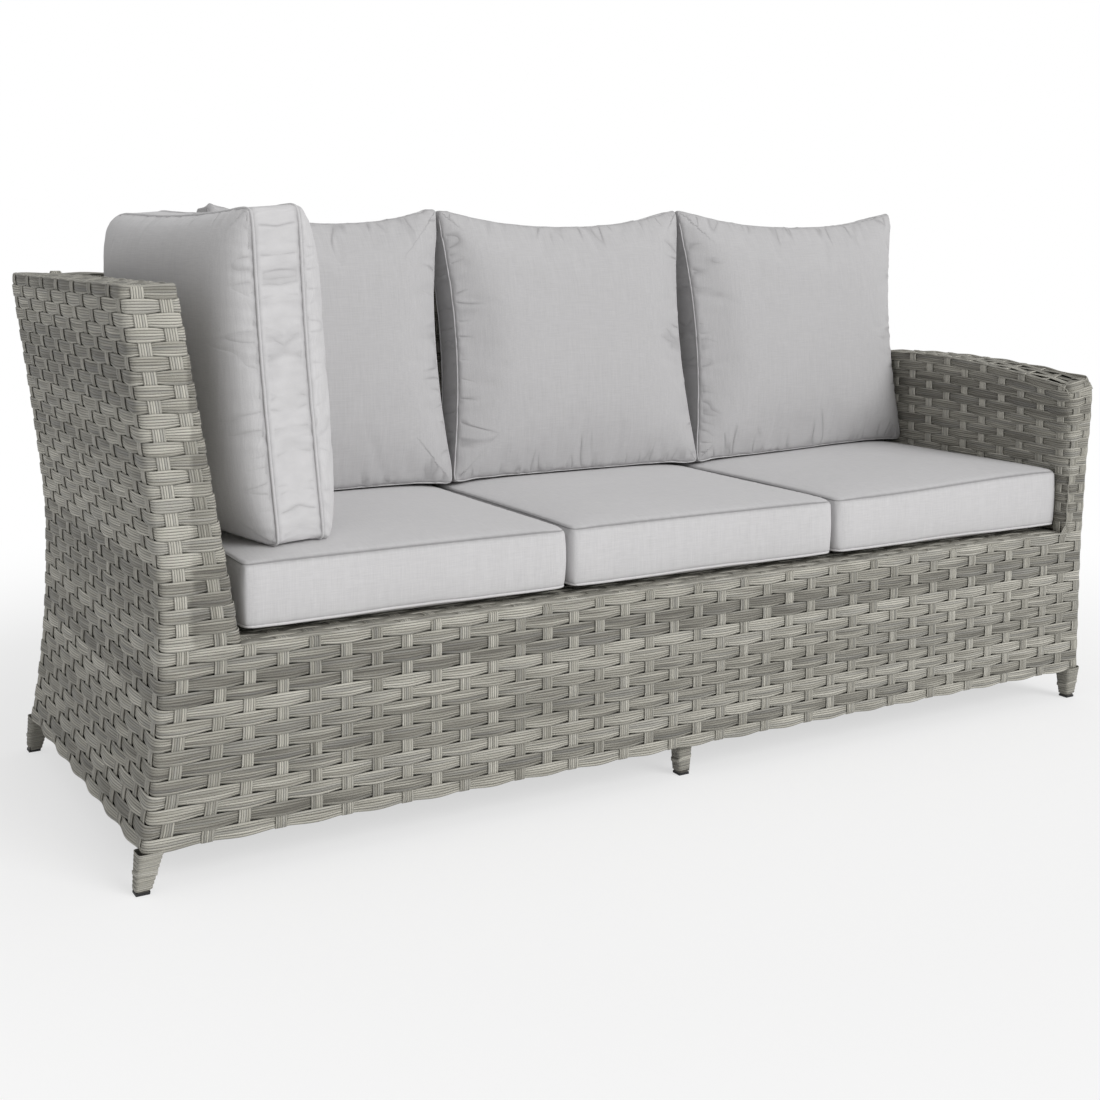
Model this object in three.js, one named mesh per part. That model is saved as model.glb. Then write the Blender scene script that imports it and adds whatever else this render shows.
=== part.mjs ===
// Woven garden sofa: a welded tube frame under a woven skin, a tall end panel on the
// left, a low arched arm on the right, and seven loose cushions.
// Millimetres, +Z up, +X along the seat to the low arm, +Y towards the back.
// The origin is on the floor, under the middle of the sofa.

import * as THREE from 'three';

// Overall sizes
const SOFA_WIDTH = 1941;
const SOFA_DEPTH = 730;
const BACK_HEIGHT = 861;
const SEAT_HEIGHT = 345;
const ARM_HEIGHT = 677;
const UNDERSIDE_HEIGHT = 59;

// The walls of the sofa, outside to outside
const END_TOP_THICKNESS = 80;
const END_LEAN = THREE.MathUtils.degToRad(9.3);
const END_WAIST = 45;
const BACK_TOP_THICKNESS = 85;
const BACK_LEAN = THREE.MathUtils.degToRad(8.6);
const ARM_TOP_THICKNESS = 68;
const ARM_FLARE = 17;
const ARM_DROP = 28;
const ARM_NOSE_RADIUS = 30;
const ARM_NOSE_TILT = 16;
const ARM_PEAK_SETBACK = 395;

// Frame tube, woven skin and the gap between pieces
const TUBE = 20;
const TUBE_WALL = 1.5;
const TUBE_CORNER = 3;
const WEAVE = 5;
const CLEARANCE = 0.3;

// Feet
const CAP_HEIGHT = 4;
const CAP_PLUG = 16;
const CAP_PLAY = 0.3;
const BINDING_TOP = 30;
const BINDING_FOOT = 24;
const BINDING_CORNER = 4;

// Seat cushions
const SEAT_CUSHIONS = 3;
const SEAT_END_GAP = 2;
const SEAT_ARM_GAP = 13;
const CUSHION_GAP = 4;
const SEAT_CUSHION_SETBACK = 20;
const SEAT_BAND = 96;
const SEAT_CROWN = 33;
const SEAT_SAG = 13;
const SEAT_PULL = 6;

// Back cushions and the cushion that leans on the end panel
const BACK_CUSHION_EXTRA = 4;
const BACK_CUSHION_SHIFT = 5;
const BACK_BAND = 65;
const BACK_CROWN = 45;
const BACK_PULL = 26;
const SIDE_CUSHION_EXTRA = -13;
const SIDE_CUSHION_LONG = 530;
const SIDE_CUSHION_CROWN = 50;
const SIDE_PULL = 10;
const SIDE_LEAN = THREE.MathUtils.degToRad(4.4);
const SIDE_TURN = THREE.MathUtils.degToRad(7.4);
const CUSHION_CORNER = 20;
const CUSHION_BULGE = 4;

// Shares of the wall height against shares of the waist: how the end panel draws in
const END_WAIST_SHARES = [
  [0, 0.23],
  [0.1, 0.56],
  [0.25, 0.87],
  [0.41, 1],
  [0.52, 0.955],
  [0.71, 0.6],
  [0.89, 0.19],
  [0.96, 0.03],
  [1, 0],
];
// Shares of the arm height against shares of the flare: how the arm stands out at its top
const ARM_FLARE_SHARES = [
  [0, 0.95],
  [0.42, 1],
  [0.56, 0.85],
  [0.77, 0.5],
  [0.88, 0.12],
  [1, 0],
];
const PROFILE_STEPS = 18;
const ARCH_STEPS = 12;
const NOSE_STEPS = 4;
const SQUARE_SIDES = 4;
const QUARTER_TURN = Math.PI / 2;

// Cushion meshes: cells across, along and up the band, and how square the crowns are
const CUSHION_COLUMNS = 14;
const CUSHION_ROWS = 12;
const BAND_ROWS = 2;
const CROWN_POWER = 4;
const PRESSED_SHARE = 1.25;
const SETTLING_PASSES = 3;

const SEAT_CUSHION_NAMES = ['left_seat_cushion', 'middle_seat_cushion', 'right_seat_cushion'];
const BACK_CUSHION_NAMES = ['left_back_cushion', 'middle_back_cushion', 'right_back_cushion'];

const leftX = -SOFA_WIDTH / 2;
const rightX = SOFA_WIDTH / 2;
const frontY = -SOFA_DEPTH / 2;
const backY = SOFA_DEPTH / 2;
const skinAndTube = WEAVE + CLEARANCE + TUBE / 2;
const frontTubeY = frontY + skinAndTube;
const backTubeY = backY - skinAndTube;

// Colours from the object
const rattan = new THREE.MeshStandardMaterial({ color: 0x9d998b, roughness: 0.6, metalness: 0 });
const powderCoat = new THREE.MeshStandardMaterial({ color: 0x4b4842, roughness: 0.5, metalness: 0.3 });
const linen = new THREE.MeshStandardMaterial({ color: 0xc4c4c6, roughness: 0.9, metalness: 0 });
const capPlastic = new THREE.MeshStandardMaterial({ color: 0x1d1d1e, roughness: 0.7, metalness: 0 });

const sofa = new THREE.Group();

function add(name, geometry, material) {
  const mesh = new THREE.Mesh(geometry, material);
  mesh.name = name;
  sofa.add(mesh);
  return mesh;
}

// Profiles of the walls

// A smooth curve through the shares, as a table of heights and insets.
function profileTable(shares, base, height, depth) {
  const knots = shares.map(([heightShare, insetShare]) => (
    new THREE.Vector2(base + heightShare * height, insetShare * depth)
  ));
  return new THREE.SplineCurve(knots).getPoints(PROFILE_STEPS);
}

// The inset at a height. Past either end the profile runs on straight.
function insetAt(table, height) {
  let above = table.findIndex((knot) => knot.x > height);
  if (above === -1) above = table.length - 1;
  if (above === 0) above = 1;
  const low = table[above - 1];
  const high = table[above];
  return low.y + ((high.y - low.y) * (height - low.x)) / (high.x - low.x);
}

// The heights at which a piece that follows the profiles has its corners.
function levels(tables, bottom, top) {
  const heights = tables.flat().map((knot) => knot.x).sort((a, b) => a - b);
  const kept = [bottom];
  heights.forEach((z) => {
    if (z > kept.at(-1) + WEAVE && z < top - WEAVE) kept.push(z);
  });
  return [...kept, top];
}

const endTable = profileTable(
  END_WAIST_SHARES,
  UNDERSIDE_HEIGHT,
  BACK_HEIGHT - UNDERSIDE_HEIGHT,
  END_WAIST,
);

// The arm's top line arches from a low nose to its peak and on to the back.
const armPeakY = frontY + ARM_PEAK_SETBACK;
const armArch = (y) => ARM_HEIGHT - ARM_DROP * ((y - armPeakY) / ARM_PEAK_SETBACK) ** 2;
const noseY = frontY + ARM_NOSE_RADIUS;
const armShoulder = armArch(noseY) - ARM_NOSE_RADIUS;
const armTable = profileTable(
  ARM_FLARE_SHARES,
  UNDERSIDE_HEIGHT,
  armShoulder - UNDERSIDE_HEIGHT,
  ARM_FLARE,
);

const endOuter = (z) => leftX + insetAt(endTable, z);
const endInner = (z) => leftX + END_TOP_THICKNESS + (BACK_HEIGHT - z) * Math.tan(END_LEAN);
const backInner = (z) => backY - BACK_TOP_THICKNESS - (BACK_HEIGHT - z) * Math.tan(BACK_LEAN);
const armInner = rightX - ARM_TOP_THICKNESS;
const armOuter = (z) => rightX - (z < armShoulder ? insetAt(armTable, z) : 0);

// The seat cushions' edges, from the first beside the end panel to the last beside the arm.
const firstSeatEdge = endInner(SEAT_HEIGHT) + SEAT_END_GAP;
const cushionPitch = (armInner - SEAT_ARM_GAP - firstSeatEdge) / SEAT_CUSHIONS;
const seatEdgeX = (n) => firstSeatEdge + n * cushionPitch;

// The nose slopes down towards the seat, and the slope fades out at the peak.
function noseTilt(x, y) {
  const fade = Math.max(0, (armPeakY - y) / ARM_PEAK_SETBACK);
  return (ARM_NOSE_TILT * fade * (rightX - x)) / ARM_TOP_THICKNESS;
}

// The arm ends at the back's leaning face.
const armRearZ = armArch(backInner(ARM_HEIGHT));
const armRearY = backInner(armRearZ - WEAVE) - CLEARANCE;

// Height over the shoulder of the nose's faceted quarter turn, at a share of its reach.
function noseRise(reachShare) {
  const step = QUARTER_TURN / NOSE_STEPS;
  const facet = Math.min(NOSE_STEPS - 1, Math.floor(Math.acos(reachShare) / step));
  const [low, high] = [facet * step, (facet + 1) * step];
  const share = (Math.cos(low) - reachShare) / (Math.cos(low) - Math.cos(high));
  return Math.sin(low) + share * (Math.sin(high) - Math.sin(low));
}

// Height of the arm's top skin at a depth under its surface, over the nose's curve too.
function armTop(x, y, depth = 0) {
  const radius = ARM_NOSE_RADIUS - depth;
  const arch = armArch(Math.min(y, armRearY)) - depth;
  const nose = armShoulder + radius * noseRise(Math.min(1, Math.max(0, noseY - y) / radius));
  return (y < noseY ? nose : arch) - noseTilt(x, y);
}

// Solids

// Turns the faces round where the grid came out left-handed, so that they all point out.
function facingOut(geometry) {
  const corner = [new THREE.Vector3(), new THREE.Vector3(), new THREE.Vector3()];
  const points = geometry.attributes.position;
  const order = geometry.index.array;
  let volume = 0;
  for (let n = 0; n < order.length; n += 3) {
    corner.forEach((point, side) => point.fromBufferAttribute(points, order[n + side]));
    volume += corner[0].dot(corner[1].cross(corner[2]));
  }
  if (volume < 0) order.reverse();
  geometry.computeVertexNormals();
  return geometry;
}

// A closed grid of cells. place(i, j, k) gives the point at column i, row j and layer k.
function gridSolid(columns, rows, layers, place) {
  const geometry = new THREE.BoxGeometry(columns, rows, layers, columns, rows, layers);
  geometry.translate(columns / 2, rows / 2, layers / 2);
  const points = geometry.attributes.position;
  for (let n = 0; n < points.count; n += 1) {
    const cell = [points.getX(n), points.getY(n), points.getZ(n)].map(Math.round);
    points.setXYZ(n, ...place(...cell));
  }
  return facingOut(geometry);
}

// A skin whose corners lie on the given heights. left, right, front and rear are
// functions of the height.
function uprightSkin(heights, left, right, front, rear) {
  return gridSolid(1, 1, heights.length - 1, (i, j, k) => {
    const z = heights[k];
    return [i ? right(z) : left(z), j ? rear(z) : front(z), z];
  });
}

// A square outline whose corners are cut off.
function cutSquare(side, corner) {
  const half = side / 2;
  const near = half - corner;
  return [
    new THREE.Vector2(-near, -half),
    new THREE.Vector2(near, -half),
    new THREE.Vector2(half, -near),
    new THREE.Vector2(half, near),
    new THREE.Vector2(near, half),
    new THREE.Vector2(-near, half),
    new THREE.Vector2(-half, near),
    new THREE.Vector2(-half, -near),
  ];
}

function ring(outer, inner) {
  const shape = new THREE.Shape(outer);
  shape.holes.push(new THREE.Path(inner.reverse()));
  return shape;
}

const tubeSection = ring(
  cutSquare(TUBE, TUBE_CORNER),
  cutSquare(TUBE - 2 * TUBE_WALL, TUBE_CORNER - TUBE_WALL),
);

// A hollow square tube along one axis. centre(station) places its section there,
// so that a tube can lean, bow or arch, and its ends stay square to the axis.
function tube(axis, stations, centre) {
  const steps = stations.length - 1;
  const sweep = { depth: steps, steps, bevelEnabled: false };
  const geometry = new THREE.ExtrudeGeometry(tubeSection, sweep);
  const points = geometry.attributes.position;
  for (let n = 0; n < points.count; n += 1) {
    const station = stations[Math.round(points.getZ(n))];
    const [across, along] = [points.getX(n), points.getY(n)];
    const [first, second] = centre(station);
    if (axis === 'x') points.setXYZ(n, station, first + across, second + along);
    if (axis === 'y') points.setXYZ(n, second + along, station, first + across);
    if (axis === 'z') points.setXYZ(n, first + across, second + along, station);
  }
  geometry.computeVertexNormals();
  return geometry;
}

// Straight rails: along x the centre is (y, z), along y it is (z, x), along z it is (x, y).
const railX = (from, to, y, z) => tube('x', [from + CLEARANCE, to - CLEARANCE], () => [y, z]);
const railY = (from, to, x, z) => tube('y', [from + CLEARANCE, to - CLEARANCE], () => [z, x]);

// Frame

const halfTube = TUBE / 2;
const capTop = CAP_HEIGHT + CLEARANCE;
const topRailZ = BACK_HEIGHT - skinAndTube;
const postTop = topRailZ + halfTube;
const topRailBottom = topRailZ - halfTube;
const seatRailZ = SEAT_HEIGHT - skinAndTube;
const seatRailTop = seatRailZ + halfTube;
const seatRailBottom = seatRailZ - halfTube;
const baseRailZ = UNDERSIDE_HEIGHT + WEAVE + halfTube;
const baseRailTop = baseRailZ + halfTube;
const crossBarZ = seatRailBottom - CLEARANCE - halfTube;

const endPostX = (z) => endOuter(z) + skinAndTube;
const armPostX = (z) => armOuter(z) - skinAndTube;
const endStileX = (z) => endInner(z) - skinAndTube;
const backStileY = (z) => backInner(z) + skinAndTube;
const armStileX = armInner + skinAndTube;
const seatBackBarY = backInner(seatRailBottom) + WEAVE - halfTube;
const centreLegX = (endPostX(CAP_HEIGHT) + armPostX(CAP_HEIGHT)) / 2;
const frontLegY = frontTubeY + TUBE + CLEARANCE;
const rearLegY = backTubeY - TUBE - CLEARANCE;

function buildPosts() {
  const endLevels = levels([endTable], capTop, postTop);
  const noseX = armPostX(armShoulder) - halfTube;
  const frontArmTop = armTop(noseX, frontTubeY - halfTube, WEAVE) - CLEARANCE;
  const armLevels = levels([armTable], capTop, frontArmTop);
  const backLevels = levels([armTable], capTop, postTop);
  add('front_left_post', tube('z', endLevels, (z) => [endPostX(z), frontTubeY]), powderCoat);
  add('rear_left_post', tube('z', endLevels, (z) => [endPostX(z), backTubeY]), powderCoat);
  add('front_right_post', tube('z', armLevels, (z) => [armPostX(z), frontTubeY]), powderCoat);
  add('rear_right_post', tube('z', backLevels, (z) => [armPostX(z), backTubeY]), powderCoat);
}

// The inner uprights lean with the walls' inner faces.
function buildStiles() {
  const onSeatRail = [seatRailTop + CLEARANCE, postTop];
  const besideBar = [seatRailBottom, postTop];
  const underRail = [seatRailBottom, topRailBottom - CLEARANCE];
  const middleX = (armInner + endInner(SEAT_HEIGHT)) / 2;
  const rightStileX = (armStileX + armPostX(postTop)) / 2;
  const armFrontTop = armTop(armStileX - halfTube, frontTubeY - halfTube, WEAVE) - CLEARANCE;
  const armStations = [seatRailTop + CLEARANCE, armFrontTop];
  add('end_front_stile', tube('z', onSeatRail, (z) => [endStileX(z), frontTubeY]), powderCoat);
  add('corner_stile', tube('z', besideBar, (z) => [endStileX(z), backStileY(z)]), powderCoat);
  add('back_middle_stile', tube('z', underRail, (z) => [middleX, backStileY(z)]), powderCoat);
  add('back_right_stile', tube('z', besideBar, (z) => [rightStileX, backStileY(z)]), powderCoat);
  add('arm_front_stile', tube('z', armStations, () => [armStileX, frontTubeY]), powderCoat);
}

function buildTopRails() {
  const besidePosts = [frontTubeY + halfTube, backTubeY - halfTube];
  const outerX = Math.max(endPostX(topRailBottom), endPostX(postTop));
  const cornerY = backStileY(topRailBottom) - halfTube;
  const leftPostSide = outerX + halfTube;
  const rightPostSide = armPostX(topRailZ) - halfTube;
  const cornerSide = endStileX(topRailBottom) + halfTube;
  const rightStileSide = (armStileX + armPostX(postTop)) / 2 - halfTube;
  const innerY = backStileY(postTop);
  add('end_outer_top_rail', railY(...besidePosts, outerX, topRailZ), powderCoat);
  add(
    'end_inner_top_rail',
    railY(besidePosts[0], cornerY, endStileX(postTop), topRailZ),
    powderCoat,
  );
  add('back_outer_top_rail', railX(leftPostSide, rightPostSide, backTubeY, topRailZ), powderCoat);
  add('back_inner_top_rail', railX(cornerSide, rightStileSide, innerY, topRailZ), powderCoat);
}

function buildArmRails() {
  const from = frontTubeY + halfTube + CLEARANCE;
  const to = backStileY(armRearZ - skinAndTube - halfTube) - halfTube - CLEARANCE;
  const stations = Array.from(
    { length: ARCH_STEPS + 1 },
    (_, n) => from + ((to - from) * n) / ARCH_STEPS,
  );
  const rail = (x) => tube('y', stations, (y) => [
    armTop(x - halfTube, y, WEAVE) - CLEARANCE - halfTube,
    x,
  ]);
  add('arm_outer_top_rail', rail(armPostX(postTop)), powderCoat);
  add('arm_inner_top_rail', rail(armStileX), powderCoat);
}

function buildSeatFrame() {
  const leftPostSide = Math.max(endPostX(seatRailBottom), endPostX(seatRailTop)) + halfTube;
  const rightPostSide = Math.min(armPostX(seatRailBottom), armPostX(seatRailTop)) - halfTube;
  const frontFace = frontTubeY + halfTube;
  const barFront = seatBackBarY - halfTube;
  const leftRailX = endInner(seatRailBottom) - WEAVE + halfTube;
  const rightRailX = armInner + WEAVE - halfTube;
  const skinToSkin = [leftPostSide - TUBE - CLEARANCE, rightPostSide + TUBE + CLEARANCE];
  const legToLeg = [frontLegY + halfTube, rearLegY - halfTube];
  const seatRail = (y) => railX(leftPostSide, rightPostSide, y, seatRailZ);
  add('front_seat_rail', seatRail(frontTubeY), powderCoat);
  add('rear_seat_rail', seatRail(backTubeY), powderCoat);
  add('left_seat_rail', railY(frontFace, barFront, leftRailX, seatRailZ), powderCoat);
  add('right_seat_rail', railY(frontFace, barFront, rightRailX, seatRailZ), powderCoat);
  add('seat_back_bar', railX(...skinToSkin, seatBackBarY, seatRailZ), powderCoat);
  add('centre_cross_bar', railY(...legToLeg, centreLegX, crossBarZ), powderCoat);
}

function buildBaseFrame() {
  const leftRailX = Math.max(endPostX(UNDERSIDE_HEIGHT), endPostX(baseRailTop));
  const rightRailX = Math.min(armPostX(UNDERSIDE_HEIGHT), armPostX(baseRailTop));
  const baseRail = (y) => railX(leftRailX + halfTube, rightRailX - halfTube, y, baseRailZ);
  const sideRail = (x) => railY(frontTubeY + halfTube, backTubeY - halfTube, x, baseRailZ);
  add('front_base_rail', baseRail(frontTubeY), powderCoat);
  add('rear_base_rail', baseRail(backTubeY), powderCoat);
  add('left_base_rail', sideRail(leftRailX), powderCoat);
  add('right_base_rail', sideRail(rightRailX), powderCoat);
}

// Legs: the corner posts run down to the floor, and two more legs stand behind the rails.

// A strand binding round a leg, from its cap to the weave. Its bore follows the leg.
function legBinding(centreX, centreY, topSide) {
  const bore = cutSquare(TUBE + 2 * CLEARANCE, TUBE_CORNER);
  const section = ring(cutSquare(BINDING_FOOT, BINDING_CORNER), bore);
  const geometry = new THREE.ExtrudeGeometry(section, { depth: 1, steps: 1, bevelEnabled: false });
  const points = geometry.attributes.position;
  for (let n = 0; n < points.count; n += 1) {
    const [x, y, end] = [points.getX(n), points.getY(n), points.getZ(n)];
    const z = end > 0 ? UNDERSIDE_HEIGHT - CLEARANCE : capTop;
    const outside = Math.max(Math.abs(x), Math.abs(y)) > halfTube + 2 * CLEARANCE;
    const flare = outside && end > 0 ? topSide / BINDING_FOOT : 1;
    points.setXYZ(n, centreX(z) + x * flare, centreY + y * flare, z);
  }
  geometry.computeVertexNormals();
  return geometry;
}

// A square cap. Its plug reaches up into the tube and clears the tube's rounded corners.
function footCap(centreX, centreY) {
  const flange = TUBE / Math.SQRT2;
  const plug = (TUBE - TUBE_WALL - TUBE_CORNER - 2 * CAP_PLAY) / Math.SQRT2;
  const profile = [
    new THREE.Vector2(0, 0),
    new THREE.Vector2(flange, 0),
    new THREE.Vector2(flange, CAP_HEIGHT),
    new THREE.Vector2(plug, CAP_HEIGHT),
    new THREE.Vector2(plug, CAP_HEIGHT + CAP_PLUG),
    new THREE.Vector2(0, CAP_HEIGHT + CAP_PLUG),
  ];
  const geometry = new THREE.LatheGeometry(profile, SQUARE_SIDES, Math.PI / SQUARE_SIDES);
  geometry.rotateX(QUARTER_TURN);
  const points = geometry.attributes.position;
  for (let n = 0; n < points.count; n += 1) {
    const z = points.getZ(n);
    points.setXYZ(n, centreX(z) + points.getX(n), centreY + points.getY(n), z);
  }
  return geometry;
}

function buildLegs() {
  const centre = () => centreLegX;
  const legs = [
    ['front_left', endPostX, frontTubeY, BINDING_TOP],
    ['rear_left', endPostX, backTubeY, BINDING_TOP],
    ['front_right', armPostX, frontTubeY, BINDING_TOP],
    ['rear_right', armPostX, backTubeY, BINDING_TOP],
    ['front_centre', centre, frontLegY, BINDING_FOOT],
    ['rear_centre', centre, rearLegY, BINDING_FOOT],
  ];
  legs.forEach(([place, centreX, centreY, topSide]) => {
    add(`${place}_leg_binding`, legBinding(centreX, centreY, topSide), rattan);
    add(`${place}_foot_cap`, footCap(centreX, centreY), capPlastic);
  });
  const centreLeg = (y) => tube('z', [capTop, seatRailTop], () => [centreLegX, y]);
  add('front_centre_leg', centreLeg(frontLegY), powderCoat);
  add('rear_centre_leg', centreLeg(rearLegY), powderCoat);
}

// Woven skins. Each wall has an outer and an inner skin on the tubes, closed by a top skin.

const underTop = BACK_HEIGHT - WEAVE - CLEARANCE;
const overDeck = SEAT_HEIGHT + CLEARANCE;
const frontInside = frontY + WEAVE + CLEARANCE;
const backInside = backY - WEAVE - CLEARANCE;
const overArm = armArch(armRearY) - WEAVE;

function buildFrontSkins() {
  const apron = levels([endTable, armTable], UNDERSIDE_HEIGHT, SEAT_HEIGHT);
  const end = levels([endTable], overDeck, underTop);
  const front = () => frontY;
  const rear = () => frontY + WEAVE;
  add('front_weave', uprightSkin(apron, endOuter, armOuter, front, rear), rattan);
  add('end_front_weave', uprightSkin(end, endOuter, endInner, front, rear), rattan);
  // The arm's front stops where the top skin starts to turn over the nose.
  const arm = levels([armTable], overDeck, armShoulder - ARM_NOSE_TILT - WEAVE);
  const armFront = gridSolid(1, 1, arm.length, (i, j, k) => {
    const top = armShoulder - noseTilt(i ? rightX : armInner, frontY) - CLEARANCE;
    const z = arm[k] ?? top;
    return [i ? armOuter(z) : armInner, frontY + j * WEAVE, z];
  });
  add('arm_front_weave', armFront, rattan);
}

function buildEndSkins() {
  const outer = levels([endTable], UNDERSIDE_HEIGHT, underTop);
  const inner = [overDeck, underTop];
  const fromFront = () => frontInside;
  const toBack = () => backInside;
  const toCorner = (z) => backInner(z) + WEAVE;
  const outerInside = (z) => endOuter(z) + WEAVE;
  const innerInside = (z) => endInner(z) - WEAVE;
  const lid = [BACK_HEIGHT - WEAVE, BACK_HEIGHT];
  const lidRight = () => endInner(BACK_HEIGHT);
  add('end_outer_weave', uprightSkin(outer, endOuter, outerInside, fromFront, toBack), rattan);
  add('end_inner_weave', uprightSkin(inner, innerInside, endInner, fromFront, toCorner), rattan);
  add('end_top_weave', uprightSkin(lid, () => leftX, lidRight, () => frontY, () => backY), rattan);
}

// The back's inner skin runs past the arm, over the arm's top.
function backInnerSkin() {
  const armSide = armInner - CLEARANCE;
  const farSide = rightX - WEAVE - CLEARANCE;
  const outline = new THREE.Shape([
    new THREE.Vector2(endInner(overDeck) + CLEARANCE, overDeck),
    new THREE.Vector2(armSide, overDeck),
    new THREE.Vector2(armSide, overArm),
    new THREE.Vector2(farSide, overArm),
    new THREE.Vector2(farSide, underTop),
    new THREE.Vector2(endInner(underTop) + CLEARANCE, underTop),
  ]);
  const geometry = new THREE.ExtrudeGeometry(outline, { depth: WEAVE, bevelEnabled: false });
  const points = geometry.attributes.position;
  for (let n = 0; n < points.count; n += 1) {
    const z = points.getY(n);
    points.setXYZ(n, points.getX(n), backInner(z) + WEAVE - points.getZ(n), z);
  }
  geometry.computeVertexNormals();
  return geometry;
}

function buildBackSkins() {
  const outer = levels([endTable, armTable], UNDERSIDE_HEIGHT, underTop);
  const end = [overArm, underTop];
  const lid = [BACK_HEIGHT - WEAVE, BACK_HEIGHT];
  const back = () => backY;
  const backSkinInside = () => backY - WEAVE;
  const endInside = () => rightX - WEAVE;
  const right = () => rightX;
  const lidLeft = () => endInner(BACK_HEIGHT) + CLEARANCE;
  const lidFront = () => backInner(BACK_HEIGHT);
  add('back_outer_weave', uprightSkin(outer, endOuter, armOuter, backSkinInside, back), rattan);
  add('back_inner_weave', backInnerSkin(), rattan);
  add('back_end_weave', uprightSkin(end, endInside, right, backInner, () => backInside), rattan);
  add('back_top_weave', uprightSkin(lid, lidLeft, right, lidFront, back), rattan);
}

// Places along the arm from front to rear: close together over the nose, then the arch.
const noseStations = Array.from({ length: NOSE_STEPS }, (_, n) => {
  const turn = (QUARTER_TURN * n) / NOSE_STEPS;
  return 1 - Math.cos(turn);
});
const archStations = Array.from({ length: ARCH_STEPS + 1 }, (_, n) => n / ARCH_STEPS);

function armStations(from, to) {
  const nose = noseStations.map((share) => from + share * (noseY - from));
  const arch = archStations.map((share) => noseY + share * (to - noseY));
  return [...nose, ...arch];
}

// The arm's top skin turns down over the nose, so its inner corners follow a smaller curve.
function armTopSkin() {
  const steps = NOSE_STEPS + ARCH_STEPS;
  return gridSolid(1, steps, 1, (i, j, k) => {
    const x = i ? rightX : armInner;
    const depth = k ? 0 : WEAVE;
    if (j > NOSE_STEPS) {
      const y = noseY + ((armRearY - noseY) * (j - NOSE_STEPS)) / ARCH_STEPS;
      return [x, y, armTop(x, y, depth)];
    }
    const turn = (QUARTER_TURN * j) / NOSE_STEPS;
    const radius = ARM_NOSE_RADIUS - depth;
    const y = noseY - radius * Math.cos(turn);
    return [x, y, armShoulder + radius * Math.sin(turn) - noseTilt(x, y)];
  });
}

function buildArmSkins() {
  const outer = levels([armTable], UNDERSIDE_HEIGHT, armShoulder - ARM_NOSE_TILT);
  const outerY = [...armStations(frontInside, armRearY), backInside];
  const outerSkin = gridSolid(1, outerY.length - 1, outer.length, (i, j, k) => {
    const y = outerY[j];
    const under = i ? 0 : WEAVE;
    const z = k === outer.length ? armTop(rightX - under, y, WEAVE) - CLEARANCE : outer[k];
    return [armOuter(z) - under, y, z];
  });
  add('arm_outer_weave', outerSkin, rattan);
  // The inner skin's last row follows the back's leaning face.
  const innerY = armStations(frontInside, armRearY);
  const innerSkin = gridSolid(1, innerY.length, 1, (i, j, k) => {
    const x = armInner + (i ? WEAVE : 0);
    const station = innerY[j] ?? armRearY;
    const z = k ? armTop(armInner, station, WEAVE) - CLEARANCE : overDeck;
    const y = j === innerY.length ? backInner(z) + WEAVE : Math.min(station, backInner(z));
    return [x, y, z];
  });
  add('arm_inner_weave', innerSkin, rattan);
  add('arm_top_weave', armTopSkin(), rattan);
}

function buildDeck() {
  const deck = [SEAT_HEIGHT - WEAVE, SEAT_HEIGHT];
  const left = () => endInner(SEAT_HEIGHT) + CLEARANCE;
  const right = () => armInner - CLEARANCE;
  const rear = () => backInner(SEAT_HEIGHT) - CLEARANCE;
  add('seat_deck', uprightSkin(deck, left, right, () => frontInside, rear), rattan);
}

// Cushions

// Places from -1 to 1 along a cushion, closer together towards its seams.
const spread = (steps) => Array.from(
  { length: steps + 1 },
  (_, n) => Math.sin(QUARTER_TURN * ((2 * n) / steps - 1)),
);

const crownRise = (u, v) => Math.sqrt((1 - u ** CROWN_POWER) * (1 - v ** CROWN_POWER));

// A boxed cushion that lies flat: width along x, length along y, band along z. Its faces
// swell by a crown over the band, and its sides draw in between the corners.
function cushion(size) {
  const { width, length, band, crown, under, pull } = size;
  const [across, along] = [spread(CUSHION_COLUMNS), spread(CUSHION_ROWS)];
  return gridSolid(CUSHION_COLUMNS, CUSHION_ROWS, BAND_ROWS, (i, j, k) => {
    const [u, v] = [across[i], along[j]];
    const w = (2 * k) / BAND_ROWS - 1;
    const swell = CUSHION_BULGE * (1 - w * w);
    const halfX = width / 2 - pull * (1 - v * v) - CUSHION_BULGE;
    const halfY = length / 2 - pull * (1 - u * u) - CUSHION_BULGE;
    // The corners of the outline are rounded.
    const inX = Math.max(0, Math.abs(u) * halfX - halfX + CUSHION_CORNER);
    const inY = Math.max(0, Math.abs(v) * halfY - halfY + CUSHION_CORNER);
    const reach = Math.max(inX, inY) / (Math.hypot(inX, inY) || 1);
    const edge = Math.max(Math.abs(u), Math.abs(v)) === 1 ? swell : 0;
    const outX = inX * reach + Math.min(Math.abs(u) * halfX, halfX - CUSHION_CORNER);
    const outY = inY * reach + Math.min(Math.abs(v) * halfY, halfY - CUSHION_CORNER);
    const diagonal = Math.hypot(u, v) || 1;
    const x = Math.sign(u) * (outX + (edge * Math.abs(u)) / diagonal);
    const y = Math.sign(v) * (outY + (edge * Math.abs(v)) / diagonal);
    // The underside is pressed flat in its middle.
    const rise = crownRise(u, v);
    let z = (band / 2) * w;
    if (k === BAND_ROWS) z += crown * rise;
    if (k === 0) z -= under * Math.min(1, rise * PRESSED_SHARE);
    return [x, y, z];
  });
}

// The leaning cushions are about as tall as the walls behind them stand over the seat.
const backCushionTall = BACK_HEIGHT - SEAT_HEIGHT + BACK_CUSHION_EXTRA;
const sideCushionTall = BACK_HEIGHT - SEAT_HEIGHT + SIDE_CUSHION_EXTRA;

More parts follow.
